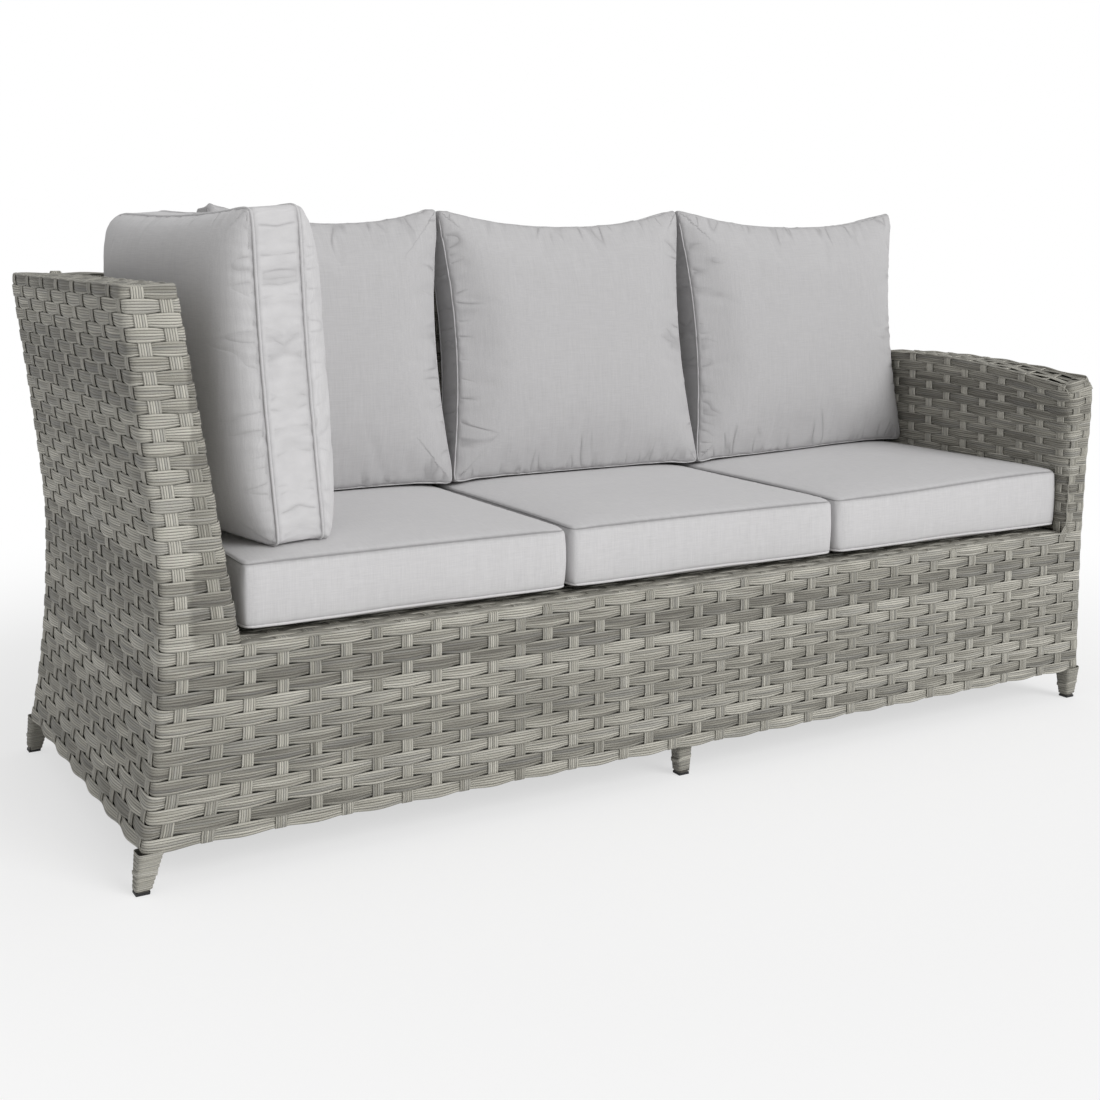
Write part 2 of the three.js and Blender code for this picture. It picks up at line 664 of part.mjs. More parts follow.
const seatCushionWidth = cushionPitch - CUSHION_GAP;
const seatCushionFront = frontY + SEAT_CUSHION_SETBACK;
const seatCushionRear = backInner(SEAT_HEIGHT) - CUSHION_GAP;
const seatCushionLength = seatCushionRear - seatCushionFront;
const seatCushionY = (seatCushionFront + seatCushionRear) / 2;
const seatCushionZ = SEAT_HEIGHT + CLEARANCE + SEAT_SAG + SEAT_BAND / 2;

// Height of the seat cushions' tops at a place, as high as their crowns can be there.
function seatTop(x, y) {
  const v = Math.min(1, Math.abs((y - seatCushionY) / (seatCushionLength / 2)));
  const place = (x - firstSeatEdge) / cushionPitch;
  const nearest = Math.min(SEAT_CUSHIONS - 1, Math.max(0, Math.floor(place)));
  const u = Math.min(1, Math.abs((place - nearest) * 2 - 1));
  return seatCushionZ + SEAT_BAND / 2 + SEAT_CROWN * crownRise(u, v);
}

// The smallest of a measure over a solid's corners and the middles of its faces.
function least(geometry, measure) {
  const points = geometry.attributes.position;
  const order = geometry.index.array;
  const face = new THREE.Triangle();
  const middle = new THREE.Vector3();
  let lowest = Infinity;
  for (let n = 0; n < order.length; n += 3) {
    face.setFromAttributeAndIndices(points, order[n], order[n + 1], order[n + 2]);
    face.getMidpoint(middle);
    lowest = Math.min(lowest, ...[face.a, face.b, face.c, middle].map(measure));
  }
  return lowest;
}

// Lowers a cushion onto the seat cushions until it just clears them.
function settleOnSeat(geometry) {
  const gap = least(geometry, (p) => (p.y < seatCushionRear ? p.z - seatTop(p.x, p.y) : Infinity));
  geometry.translate(0, 0, CLEARANCE - gap);
}

function buildSeatCushions() {
  const shape = cushion({
    width: seatCushionWidth,
    length: seatCushionLength,
    band: SEAT_BAND,
    crown: SEAT_CROWN,
    under: SEAT_SAG,
    pull: SEAT_PULL,
  });
  SEAT_CUSHION_NAMES.forEach((name, n) => {
    const mesh = add(name, shape.clone(), linen);
    mesh.position.set((seatEdgeX(n) + seatEdgeX(n + 1)) / 2, seatCushionY, seatCushionZ);
  });
}

// The side cushion stands on the seat, turned a little, and leans on the end panel.
function sideCushion() {
  const geometry = cushion({
    width: SIDE_CUSHION_LONG,
    length: sideCushionTall,
    band: BACK_BAND,
    crown: SIDE_CUSHION_CROWN,
    under: SIDE_CUSHION_CROWN,
    pull: SIDE_PULL,
  });
  geometry.rotateX(QUARTER_TURN - SIDE_LEAN);
  geometry.rotateZ(QUARTER_TURN + SIDE_TURN);
  geometry.translate(endInner(BACK_HEIGHT) + SIDE_CUSHION_LONG / 2, 0, BACK_HEIGHT);
  // Each move changes the other gaps a little, so they are taken up again.
  for (let pass = 0; pass < SETTLING_PASSES; pass += 1) {
    settleOnSeat(geometry);
    const behind = least(geometry, (p) => backInner(Math.min(p.z, BACK_HEIGHT)) - p.y);
    geometry.translate(0, behind - CUSHION_GAP, 0);
    const beside = least(geometry, (p) => p.x - endInner(Math.min(p.z, BACK_HEIGHT)));
    geometry.translate(CLEARANCE - beside, 0, 0);
  }
  settleOnSeat(geometry);
  return geometry;
}

// A back cushion between two places along the seat, leaning flat against the back.
function backCushion(from, to) {
  const geometry = cushion({
    width: to - from,
    length: backCushionTall,
    band: BACK_BAND,
    crown: BACK_CROWN,
    under: BACK_CROWN,
    pull: BACK_PULL,
  });
  geometry.rotateX(QUARTER_TURN - BACK_LEAN);
  geometry.translate((from + to) / 2, 0, BACK_HEIGHT);
  for (let pass = 0; pass < SETTLING_PASSES; pass += 1) {
    const behind = least(geometry, (p) => backInner(p.z) - p.y);
    geometry.translate(0, behind - CLEARANCE, 0);
    settleOnSeat(geometry);
  }
  return geometry;
}

// The back cushions fill the back from the side cushion to the arm.
function buildLeaningCushions() {
  const side = sideCushion();
  const frontLimit = backInner(SEAT_HEIGHT) - BACK_BAND - 2 * BACK_CROWN;
  const sideReach = -least(side, (p) => (p.y > frontLimit ? -p.x : Infinity));
  const rightEdges = BACK_CUSHION_NAMES.map((_, n) => seatEdgeX(n + 1) + BACK_CUSHION_SHIFT);
  const lastEdge = armInner - CLEARANCE + CUSHION_GAP / 2;
  // The first one lifts straight up past the side cushion.
  const firstEdge = sideReach + CUSHION_GAP - BACK_PULL / 2;
  const edges = [firstEdge, ...rightEdges.slice(0, -1), lastEdge];
  add('side_cushion', side, linen);
  BACK_CUSHION_NAMES.forEach((name, n) => {
    const shape = backCushion(edges[n] + CUSHION_GAP / 2, edges[n + 1] - CUSHION_GAP / 2);
    add(name, shape, linen);
  });
}

buildPosts();
buildStiles();
buildTopRails();
buildArmRails();
buildSeatFrame();
buildBaseFrame();
buildLegs();
buildFrontSkins();
buildEndSkins();
buildBackSkins();
buildArmSkins();
buildDeck();
buildSeatCushions();
buildLeaningCushions();

export default sofa;
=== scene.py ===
"""A woven garden sofa with a tall end panel, a low arched arm and seven cushions.

Metres, +Z up, +X along the seat to the arm, +Y to the back. The origin is on the floor,
under the middle of the sofa.
"""

import math

import bpy
import numpy as np
from mathutils import Euler, Matrix, Vector
from mathutils.bvhtree import BVHTree
from mathutils.kdtree import KDTree


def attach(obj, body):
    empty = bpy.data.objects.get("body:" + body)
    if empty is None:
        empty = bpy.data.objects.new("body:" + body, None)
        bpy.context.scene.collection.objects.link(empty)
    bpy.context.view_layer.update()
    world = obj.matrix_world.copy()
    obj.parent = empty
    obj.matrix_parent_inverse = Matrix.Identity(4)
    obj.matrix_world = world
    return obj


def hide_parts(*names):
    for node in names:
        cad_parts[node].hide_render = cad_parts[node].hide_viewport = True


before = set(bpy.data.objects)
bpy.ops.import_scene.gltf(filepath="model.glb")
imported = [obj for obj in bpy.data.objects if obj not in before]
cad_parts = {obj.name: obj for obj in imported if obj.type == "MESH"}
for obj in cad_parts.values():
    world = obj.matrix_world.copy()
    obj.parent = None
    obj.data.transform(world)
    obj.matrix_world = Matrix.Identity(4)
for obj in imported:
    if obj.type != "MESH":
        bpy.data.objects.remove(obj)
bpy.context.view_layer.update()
rng = np.random.default_rng(7)

# ---- camera and light ----

VIEW_PLACE = (-1.5195, -2.438, 0.926)
VIEW_PITCH = math.radians(84.5)
VIEW_YAW = math.radians(-30.52)
VIEW_ROLL = math.radians(0.267)
VIEW_LENS = 50.0
VIEW_SHIFT = -0.1497

AMBIENT = 0.52
KEY_STRENGTH = 1.68
KEY_TURN = (math.radians(60), 0, math.radians(24))
KEY_SOFTNESS = math.radians(35)
FLOOR_SIZE = 60
FLOOR_WHITE = 0.62


def add_camera():
    lens = bpy.data.cameras.new("view")
    lens.lens = VIEW_LENS
    lens.sensor_width = 36
    lens.shift_y = VIEW_SHIFT
    camera = bpy.data.objects.new("view", lens)
    turn = Euler((VIEW_PITCH, 0, VIEW_YAW)).to_matrix().to_4x4()
    camera.matrix_world = Matrix.Translation(VIEW_PLACE) @ turn @ Matrix.Rotation(VIEW_ROLL, 4, "Z")
    bpy.context.scene.collection.objects.link(camera)
    bpy.context.scene.camera = camera
    bpy.context.scene.view_settings.view_transform = "Standard"


def add_lights():
    lamp = bpy.data.lights.new("key", "SUN")
    lamp.energy = KEY_STRENGTH
    lamp.angle = KEY_SOFTNESS
    key = bpy.data.objects.new("key", lamp)
    key.rotation_euler = KEY_TURN
    bpy.context.scene.collection.objects.link(key)


# ---- materials ----


class Wire:
    """A number or colour that runs through a material; sums on it add Math nodes."""

    def __init__(self, finish, socket):
        self.finish = finish
        self.socket = socket

    def _math(self, operation, *values):
        return self.finish.node("Math", {"operation": operation}, *values)

    def __add__(self, other):
        return self._math("ADD", self, other)

    def __sub__(self, other):
        return self._math("SUBTRACT", self, other)

    def __mul__(self, other):
        return self._math("MULTIPLY", self, other)

    def __truediv__(self, other):
        return self._math("DIVIDE", self, other)

    def __radd__(self, other):
        return self._math("ADD", other, self)

    def __rsub__(self, other):
        return self._math("SUBTRACT", other, self)

    def __rmul__(self, other):
        return self._math("MULTIPLY", other, self)

    def sine(self):
        return self._math("SINE", self)

    def absolute(self):
        return self._math("ABSOLUTE", self)

    def clamped(self):
        return self.finish.node("Clamp", {}, self)

    def step(self, low, high):
        values = {"Value": self, "From Min": low, "From Max": high}
        return self.finish.node("MapRange", {"interpolation_type": "SMOOTHSTEP"}, **values)


class Finish:
    """A material under construction."""

    def __init__(self, name, **surface):
        self.material = bpy.data.materials.new(name)
        self.material.use_nodes = True
        self.tree = self.material.node_tree
        self.shader = self.tree.nodes["Principled BSDF"]
        for socket, value in surface.items():
            self.shader.inputs[socket.replace("_", " ")].default_value = value

    def node(self, kind, settings, *values, out=0, **sockets):
        made = self.tree.nodes.new("ShaderNode" + kind)
        for setting, value in settings.items():
            if setting == "stops":
                ramp = made.color_ramp.elements
                while len(ramp) < len(value):
                    ramp.new(0.5)
                for element, (place, colour) in zip(ramp, value):
                    element.position = place
                    element.color = (*colour, 1)
            else:
                setattr(made, setting, value)
        for number, value in enumerate(values):
            self._feed(made.inputs[number], value)
        for socket, value in sockets.items():
            self._feed(made.inputs[socket], value)
        return Wire(self, made.outputs[out])

    def _feed(self, socket, value):
        if isinstance(value, Wire):
            self.tree.links.new(value.socket, socket)
        else:
            socket.default_value = value

    def mix(self, share, first, second):
        """Mixes two colours."""
        made = self.tree.nodes.new("ShaderNodeMix")
        made.data_type = "RGBA"
        self._feed(made.inputs["Factor"], share)
        for slot, colour in zip((6, 7), (first, second)):
            whole = colour if isinstance(colour, Wire) else (*colour, 1)
            self._feed(made.inputs[slot], whole)
        return Wire(self, made.outputs[2])

    def noise(self, place, scale, detail=2.0, roughness=0.5):
        sockets = {"Vector": place, "Scale": scale, "Detail": detail, "Roughness": roughness}
        return self.node("TexNoise", {}, **sockets)

    def stretched(self, place, scales, turn=(0, 0, 0)):
        return self.node("Mapping", {}, Vector=place, Scale=scales, Rotation=turn)

    def surface(self, **sockets):
        for socket, value in sockets.items():
            self._feed(self.shader.inputs[socket.replace("_", " ")], value)

    def bump(self, height, distance, strength=1.0):
        normal = self.node("Bump", {}, Strength=strength, Distance=distance, Height=height)
        self._feed(self.shader.inputs["Normal"], normal)


# Edge colours of a strand: pale, a painted highlight on its rounded edges; dark, painted shade where the
# leg's windings meet.
EDGE_HIGHLIGHT = (0.76, 0.74, 0.67)
EDGE_SHADE = (0.080, 0.074, 0.062)


def rattan_finish(name="rattan", grooves=5, lines=0.85, light=0.0, painted_edge_colour=EDGE_HIGHLIGHT):
    """Grooved plastic rattan. The strand's own map runs along and across it, in metres."""
    finish = Finish(name, Specular_IOR_Level=0.35)
    along = finish.node("UVMap", {"uv_map": "strand"})
    tone = finish.node("Attribute", {"attribute_name": "tone"}, out=2)
    across = finish.node("SeparateXYZ", {}, along, out=1)
    streaks = finish.noise(finish.stretched(along, (7, 900, 1)), 1.0, 3.0, 0.6)
    patches = finish.noise(finish.stretched(along, (9, 25, 1)), 1.0, 1.0)
    hue = finish.noise(finish.stretched(along, (4, 3, 1)), 1.0, 1.0)
    drift = finish.noise(finish.stretched(along, (5, 0.1, 1)), 1.0, 1.0)
    bands = finish.noise(finish.stretched(along, (6, 3.2, 1)), 1.0, 1.5, 0.6)
    groove = (across * (math.tau * grooves) + drift * 2.0).sine()
    wobble = groove + (streaks - 0.5) * 2.0
    dark_line = wobble.step(-0.25, -1.10)
    rim = across.absolute().step(0.36, 0.46)
    edge = across.absolute().step(0.46, 0.50)
    mixed = tone * 0.34 + patches * 0.45 + bands * 0.85 + streaks * 0.45
    shade = (mixed * 1.9 - 1.47 + light).clamped()
    stops = [
        (0.0, (0.170, 0.162, 0.140)),
        (0.35, (0.310, 0.298, 0.258)),
        (0.65, (0.480, 0.463, 0.402)),
        (1.0, (0.680, 0.660, 0.585)),
    ]
    colour = finish.node("ValToRGB", {"stops": stops}, shade)
    greyed = finish.mix(hue.step(0.50, 0.64) * 0.42, colour, (0.270, 0.270, 0.264))
    lined = finish.mix(dark_line * lines, greyed, (0.090, 0.084, 0.070))
    # Painted highlight along the strand's rounded edges; on the leg's windings the dark edge colour,
    # painted shade.
    rim_highlit = finish.mix(rim * 0.36, lined, (0.68, 0.66, 0.59))
    edge_painted = finish.mix(edge * 0.70, rim_highlit, painted_edge_colour)
    finish.surface(Base_Color=edge_painted, Roughness=0.48 + streaks * 0.16)
    finish.bump(wobble * 0.5 - rim * 0.4, 0.0009)
    return finish.material


def coat_finish():
    finish = Finish("powder_coat", Metallic=0.2)
    place = finish.node("TexCoord", {}, out=3)
    grain = finish.noise(place, 900, 2.0)
    cloud = finish.noise(place, 12, 2.0)
    colour = finish.mix(cloud, (0.058, 0.053, 0.045), (0.090, 0.084, 0.072))
    finish.surface(Base_Color=colour, Roughness=0.42 + grain * 0.2)
    finish.bump(grain, 0.0002)
    return finish.material


def cap_finish():
    finish = Finish("foot_cap")
    place = finish.node("TexCoord", {}, out=3)
    grain = finish.noise(place, 700, 2.0)
    scuffs = finish.noise(finish.stretched(place, (60, 60, 260)), 1.0, 3.0).step(0.6, 0.8)
    colour = finish.mix(scuffs * 0.5, (0.012, 0.012, 0.013), (0.055, 0.053, 0.050))
    finish.surface(Base_Color=colour, Roughness=0.55 + grain * 0.25)
    finish.bump(grain, 0.0002)
    return finish.material


def linen_finish(name, turn=0.0, lightness=1.0):
    """Woven cloth with slubs, on Object coordinates turned to lie along the piece.

    Creases run off the seams on the piece's own chart: along a seam, away from it,
    and how strongly it creases there.
    """
    finish = Finish(name, Sheen_Weight=0.25, Sheen_Roughness=0.5, Specular_IOR_Level=0.2)
    place = finish.node("TexCoord", {}, out=3)
    flat = finish.stretched(place, (1, 1, 1), (0, 0, turn))
    weft = finish.noise(finish.stretched(flat, (30, 850, 850)), 1.0, 2.0)
    warp = finish.noise(finish.stretched(flat, (850, 30, 30)), 1.0, 2.0)
    cloud = finish.noise(flat, 5.0, 2.0)
    threads = weft * 0.5 + warp * 0.5
    low, high = (0.480, 0.474, 0.480), (0.690, 0.681, 0.686)
    # This scale makes the lit and shaded copies of the linen below: painted light and painted shade.
    light = [part * lightness for part in high]
    dark = [part * lightness for part in low]
    cloth = finish.mix((threads * 1.2 + cloud * 0.2 - 0.2).clamped(), dark, light)
    seam = finish.node("Attribute", {"attribute_name": "seam"}, out=2)
    chart = finish.node("Attribute", {"attribute_name": "crease_chart"}, out=1)
    near = finish.node("SeparateXYZ", {}, chart, out=1)
    strength = finish.node("SeparateXYZ", {}, chart, out=2)
    wander = finish.noise(finish.stretched(chart, (26, 7, 0)), 1.0, 1.0)
    ridge = (1 - (wander - 0.5).absolute() * 12).clamped()
    reach = finish.noise(finish.stretched(chart, (17, 0, 0)), 1.0, 1.0)
    length = (reach - 0.39) * 0.34
    fading = ((length - near) / 0.03).clamped()
    crease = ridge * ridge * fading * strength
    # Painted shade: the cloth is darkened along the creases; the bump below gives them their relief.
    crease_shaded = finish.mix(crease * 0.32, cloth, (0.22, 0.215, 0.22))
    # Painted shade: the cloth is darkened close to the seams, where shade gathers at the piping.
    colour = finish.mix(seam * 0.62, crease_shaded, (0.16, 0.155, 0.16))
    finish.surface(Base_Color=colour, Roughness=0.82 + threads * 0.12)
    finish.bump(threads * 0.35 - crease * 3.2, 0.0006, 0.9)
    return finish.material


def floor_finish():
    """A white floor that keeps the sofa's shadow and turns pure white further out."""
    finish = Finish("floor", Base_Color=(0.96, 0.96, 0.96, 1), Roughness=1.0)
    rays = finish.node("LightPath", {}).socket.node.outputs
    camera, glossy = (Wire(finish, rays[name]) for name in ("Is Camera Ray", "Is Glossy Ray"))
    seen = finish.node("Math", {"operation": "MAXIMUM"}, camera, glossy)
    place = finish.node("TexCoord", {}, out=3)
    away = finish.node("VectorMath", {"operation": "LENGTH"}, place, out=1)
    white = finish.node("Emission", {}, Strength=1.0)
    own = Wire(finish, finish.shader.outputs[0])
    share = seen * (FLOOR_WHITE + away.step(1.0, 2.4) * (1 - FLOOR_WHITE))
    blend = finish.node("MixShader", {}, share, own, white)
    finish.tree.links.new(blend.socket, finish.tree.nodes["Material Output"].inputs["Surface"])
    return finish.material


def set_world():
    world = bpy.data.worlds.new("studio")
    world.use_nodes = True
    bpy.context.scene.world = world
    tree = world.node_tree
    light = tree.nodes.new("ShaderNodeLightPath")
    soft = tree.nodes["Background"]
    soft.inputs["Color"].default_value = (1, 1, 1, 1)
    soft.inputs["Strength"].default_value = AMBIENT
    white = tree.nodes.new("ShaderNodeBackground")
    white.inputs["Color"].default_value = (1, 1, 1, 1)
    seen = tree.nodes.new("ShaderNodeMath")
    seen.operation = "MAXIMUM"
    blend = tree.nodes.new("ShaderNodeMixShader")
    tree.links.new(light.outputs["Is Camera Ray"], seen.inputs[0])
    tree.links.new(light.outputs["Is Transmission Ray"], seen.inputs[1])
    tree.links.new(seen.outputs[0], blend.inputs[0])
    tree.links.new(soft.outputs[0], blend.inputs[1])
    tree.links.new(white.outputs[0], blend.inputs[2])
    tree.links.new(blend.outputs[0], tree.nodes["World Output"].inputs["Surface"])


def add_floor():
    bpy.ops.mesh.primitive_plane_add(size=FLOOR_SIZE, location=(0, 0, -0.0005))
    floor = bpy.context.object
    floor.name = "floor"
    floor.data.materials.append(floor_finish())


# ---- helpers for meshes ----


def unit(vectors):
    return vectors / np.linalg.norm(vectors, axis=1, keepdims=True)


def smooth_step(values, low, high):
    share = np.clip((values - low) / (high - low), 0, 1)
    return share * share * (3 - 2 * share)


def places_of(mesh):
    places = np.empty(len(mesh.vertices) * 3)
    mesh.vertices.foreach_get("co", places)
    return places.reshape(-1, 3)


def set_places(mesh, places):
    mesh.vertices.foreach_set("co", np.ascontiguousarray(places).ravel())
    mesh.update()


def active_copy(mesh, name):
    piece = bpy.data.objects.new(name, mesh)
    bpy.context.scene.collection.objects.link(piece)
    active_again(piece)
    return piece


def active_again(piece):
    bpy.ops.object.select_all(action="DESELECT")
    piece.select_set(True)
    bpy.context.view_layer.objects.active = piece


def apply_modifier(piece, name, kind, **settings):
    modifier = piece.modifiers.new(name, kind)
    for setting, value in settings.items():
        setattr(modifier, setting, value)
    bpy.ops.object.modifier_apply(modifier=name)


# ---- the walls' faces, read from the frame ----

TOP = 0.861
SEAT = 0.345
BASE = 0.059
FRONT = -0.365
BACK = 0.365
ARM_INNER = 0.9025
ARM_OUTER = 0.9705
ARM_SHOULDER = 0.6231
NOSE_RADIUS = 0.030
INSET = 0.0018


def corners(node):
    return places_of(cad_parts[node].data).round(5)


def side_line(node, axis, furthest):
    """Heights of a skin's corners and its furthest places along an axis at them."""
    points = corners(node)
    heights = np.unique(points[:, 2])
    return heights, np.array([furthest(points[points[:, 2] == z, axis]) for z in heights])


def rim_line(inner):
    """The arm's top edge on one side, as places along it and heights."""
    points = corners("arm_top_weave")
    side = points[:, 0] < ARM_INNER + 0.001 if inner else points[:, 0] > ARM_OUTER - 0.001
    points = points[side]
    places = np.unique(points[:, 1])
    return places, np.array([points[points[:, 1] == y, 2].max() for y in places])


END_LINE = side_line("back_outer_weave", 0, min)
ARM_LINE = side_line("back_outer_weave", 0, max)
END_INNER_LINE = np.poly1d(np.polyfit(*side_line("end_inner_weave", 0, max), 1))
BACK_INNER_LINE = np.poly1d(np.polyfit(*side_line("back_inner_weave", 1, min), 1))
RIM_INNER = rim_line(True)
RIM_OUTER = rim_line(False)


def end_outer(z):
    return float(np.interp(z, *END_LINE))


def arm_outer(z):
    return float(np.interp(z, *ARM_LINE))


def arm_rim(x, y):
    inner = np.interp(max(y, FRONT + NOSE_RADIUS), *RIM_INNER)
    outer = np.interp(max(y, FRONT + NOSE_RADIUS), *RIM_OUTER)
    share = min(1, max(0, (x - ARM_INNER) / (ARM_OUTER - ARM_INNER)))
    return float(inner + share * (outer - inner))


# ---- weave: rounds of weft pass over and under the warps ----

LOW_ROWS = 14
HIGH_ROWS = 26
ARM_ROWS = 17
TOP_ROWS = 4
DECK_ROWS = 28
FRONT_WARPS = 38
SIDE_WARPS = 14
INNER_WARPS = 12
SIDE_FIRST = -0.340
SIDE_PITCH = 0.0523077
FRONT_FIRST = -0.7955
FRONT_PITCH = 0.04968
ARM_LAST_INSET = 0.0135
END_SHARES = (0.27, 0.73)
ALL_ROWS = LOW_ROWS + HIGH_ROWS
ARM_TOP_ROW = LOW_ROWS + ARM_ROWS
STRAND_WIDTH = 0.0196
WIDTH_SWING = 0.0020
WARP_WIDTH = 0.0185
STRAND_THICKNESS = 0.0017
WEFT_SWING = 0.0022
TOP_SWING = 0.0011
WARP_SWING = 0.0009
CORNER_RADIUS = 0.014
EDGE_RADIUS = 0.010
RIM_ARCH = 0.0065

# How much paler or darker than the rest the strands are: the warps by their own tone; on the arm's inner
# face the wefts darker and the warps paler, partly own tone and partly painted shade and painted light; the
# end panel's front strip paler, painted light; its outer face darker, painted shade.
WARP_PALE = 0.45
ARM_PAINTED_SHADE = -0.36
ARM_PAINTED_LIGHT = 0.55
END_PAINTED_LIGHT = 0.60
WALL_PAINTED_SHADE = 0.20


def row_height(row):
    return float(np.interp(row, (-0.5, LOW_ROWS - 0.5, ALL_ROWS - 0.5), (BASE, SEAT, TOP)))


def arm_height(x, y, row):
    """A row's height at a place. Near the arm the rows follow the arm's arched top."""
    plain = row_height(row)
    if row < LOW_ROWS - 0.5:
        return plain
    share = min(1, (row - LOW_ROWS + 0.5) / ARM_ROWS) ** 2
    short = row_height(ARM_TOP_ROW - 0.5) - arm_rim(x, y)
    near = min(1, max(0, (x - ARM_INNER) / 0.1 + 1))
    above = min(1, max(0, 1 - (row - ARM_TOP_ROW + 0.5) / 5))
    return plain - short * share * near * above


def nose_face(z):
    """The arm's front face: it turns back over the nose above the shoulder."""
    turn = max(0, (z - ARM_SHOULDER) / NOSE_RADIUS)
    return FRONT + INSET + NOSE_RADIUS * (1 - math.cos(turn))


def left_place(warp, row):
    z = row_height(row)
    return (end_outer(z) + INSET, SIDE_FIRST + SIDE_PITCH * warp, z)


def right_place(warp, row):
    y = SIDE_FIRST + SIDE_PITCH * warp
    z = arm_height(ARM_OUTER, y, row)
    return (arm_outer(z) - INSET, y, z)


def back_place(warp, row):
    z = row_height(row)
    low, high = end_outer(z) + 0.025, arm_outer(z) - 0.025
    x = low + (high - low) * warp / (FRONT_WARPS - 1)
    return (x, BACK - INSET, arm_height(x, BACK, row))


def front_place(warp, row):
    z = row_height(row)
    lean = end_outer(z) - end_outer(SEAT)
    width = END_INNER_LINE(SEAT) - end_outer(SEAT)
    if warp < 2:
        x = end_outer(SEAT) + END_SHARES[warp] * width + (1, 0.8)[warp] * lean
    elif warp == FRONT_WARPS - 1:
        x = arm_outer(z) - ARM_LAST_INSET
    else:
        x = FRONT_FIRST + FRONT_PITCH * (warp - 2) + lean * {2: 0.45, 3: 0.2}.get(warp, 0)
    return (x, FRONT + INSET, z)


def end_front_place(warp, row):
    z = row_height(row)
    width = END_INNER_LINE(z) - end_outer(z)
    return (end_outer(z) + END_SHARES[warp] * width, FRONT + INSET, z)


def arm_front_place(warp, row):
    z = arm_height(ARM_INNER, FRONT, row)
    x = (float(np.interp(z, (0.36, 0.65), (0.912, 0.925))), arm_outer(z) - ARM_LAST_INSET)[warp]
    z = arm_height(x, FRONT, row)
    return (x, nose_face(z), min(z, ARM_SHOULDER + NOSE_RADIUS))


def inner_depth(warp, z):
    """How far back an upright of the end's or the arm's inner face stands."""
    limit = BACK_INNER_LINE(z) - 0.020 - (INNER_WARPS - 1 - warp) * 0.026
    return min(SIDE_FIRST + SIDE_PITCH * warp, limit)


def end_inner_place(warp, row):
    z = row_height(row)
    return (END_INNER_LINE(z) - INSET, inner_depth(warp, z), z)


def arm_inner_place(warp, row):
    y = inner_depth(warp, row_height(row))
    return (ARM_INNER + INSET, y, arm_height(ARM_INNER, y, row))


def back_inner_place(warp, row):
    z = row_height(row)
    x = back_place(warp + 2, ALL_ROWS - 0.5)[0]
    x += max(0, 1 - warp / 3) * (END_INNER_LINE(z) - END_INNER_LINE(TOP))
    z = arm_height(x, BACK_INNER_LINE(z), row)
    return (x, BACK_INNER_LINE(z) + INSET, z)


def back_end_place(warp, row):
    y = SIDE_FIRST + SIDE_PITCH * (warp + INNER_WARPS)
    return (ARM_OUTER - INSET, y, arm_height(ARM_OUTER, y, row))


def round_legs(row):
    """The faces that a round of weft passes, with the warps on each in the round's order."""
    around = [
        (right_place, range(SIDE_WARPS)),
        (back_place, range(FRONT_WARPS - 1, -1, -1)),
        (left_place, range(SIDE_WARPS - 1, -1, -1)),
    ]
    if row < LOW_ROWS:
        return [(front_place, range(FRONT_WARPS))] + around
    into = [(end_front_place, range(2)), (end_inner_place, range(INNER_WARPS))]
    if row < ARM_TOP_ROW:
        out_of = [
            (back_inner_place, range(FRONT_WARPS - 4)),
            (arm_inner_place, range(INNER_WARPS - 1, -1, -1)),
            (arm_front_place, range(2)),
        ]
        return into + out_of + around
    out_of = [(back_inner_place, range(FRONT_WARPS - 2)), (back_end_place, range(2))]
    return into + out_of + around[1:]


ALONG_X = (front_place, end_front_place, arm_front_place, back_place, back_inner_place)


def corner_between(first, last_warp, second, first_warp, row):
    a = first(last_warp, row)
    b = second(first_warp, row)
    if first in ALONG_X:
        return (b[0], a[1], (a[2] + b[2]) / 2)
    return (a[0], b[1], (a[2] + b[2]) / 2)


def bend(start, corner, end, radius, steps):
    """Points from start up to, but not at, end, round a corner. With shares of the way."""
    start, corner, end = (np.array(p, float) for p in (start, corner, end))
    to, fro = start - corner, end - corner
    to_long, fro_long = np.linalg.norm(to), np.linalg.norm(fro)
    enter = corner + to * min(radius / to_long, 0.95)
    leave = corner + fro * min(radius / fro_long, 0.95)
    turns = np.linspace(0, 1, steps)[:, None]
    arc = enter * (1 - turns) ** 2 + 2 * corner * turns * (1 - turns) + leave * turns**2
    points = np.vstack([start, (start + enter) / 2, arc, (leave + end) / 2, end])
    lengths = np.r_[0, np.cumsum(np.linalg.norm(np.diff(points, axis=0), axis=1))]
    return points[:-1], lengths[:-1] / lengths[-1]


def straight(start, end, steps):
    start, end = np.array(start, float), np.array(end, float)
    shares = np.arange(steps) / steps
    return start + (end - start) * shares[:, None], shares


def weft_round(row, whole_row, steps):
    """The middle line of a round of weft and how many warps it has passed at each point."""
    legs = round_legs(whole_row)
    points, passed = [], []
    count = 0
    for number, (face, warps) in enumerate(legs):
        warps = list(warps)
        for here, following in zip(warps, warps[1:]):
            run, shares = straight(face(here, row), face(following, row), steps)
            points.append(run)
            passed.append(count + shares)
            count += 1
        after, after_warps = legs[(number + 1) % len(legs)]
        first = list(after_warps)[0]
        corner = corner_between(face, warps[-1], after, first, row)
        run, shares = bend(face(warps[-1], row), corner, after(first, row), CORNER_RADIUS, 5)
        points.append(run)
        passed.append(count + shares)
        count += 1
    return np.vstack(points), np.concatenate(passed), count


def lay_strand(line, across, swing, width, thickness):
    """Where a strand lies: its middle, the directions across it and out of the weave."""
    out = unit(np.cross(np.gradient(line, axis=0), across))
    line = line + out * swing[:, None]
    run = unit(np.gradient(line, axis=0))
    out = unit(np.cross(run, across))
    side = np.cross(out, run)
    return line, side * np.reshape(width, (-1, 1)), out * thickness


strand_moulds = {}
MOULD_THICKNESS = 0.12


def select_edges(mesh, wanted):
    """Selects, in object mode, the edges whose two ends fit, and nothing else."""
    for part in (mesh.polygons, mesh.vertices):
        part.foreach_set("select", [False] * len(part))
    for edge in mesh.edges:
        edge.select = wanted(*(mesh.vertices[v].co for v in edge.vertices))


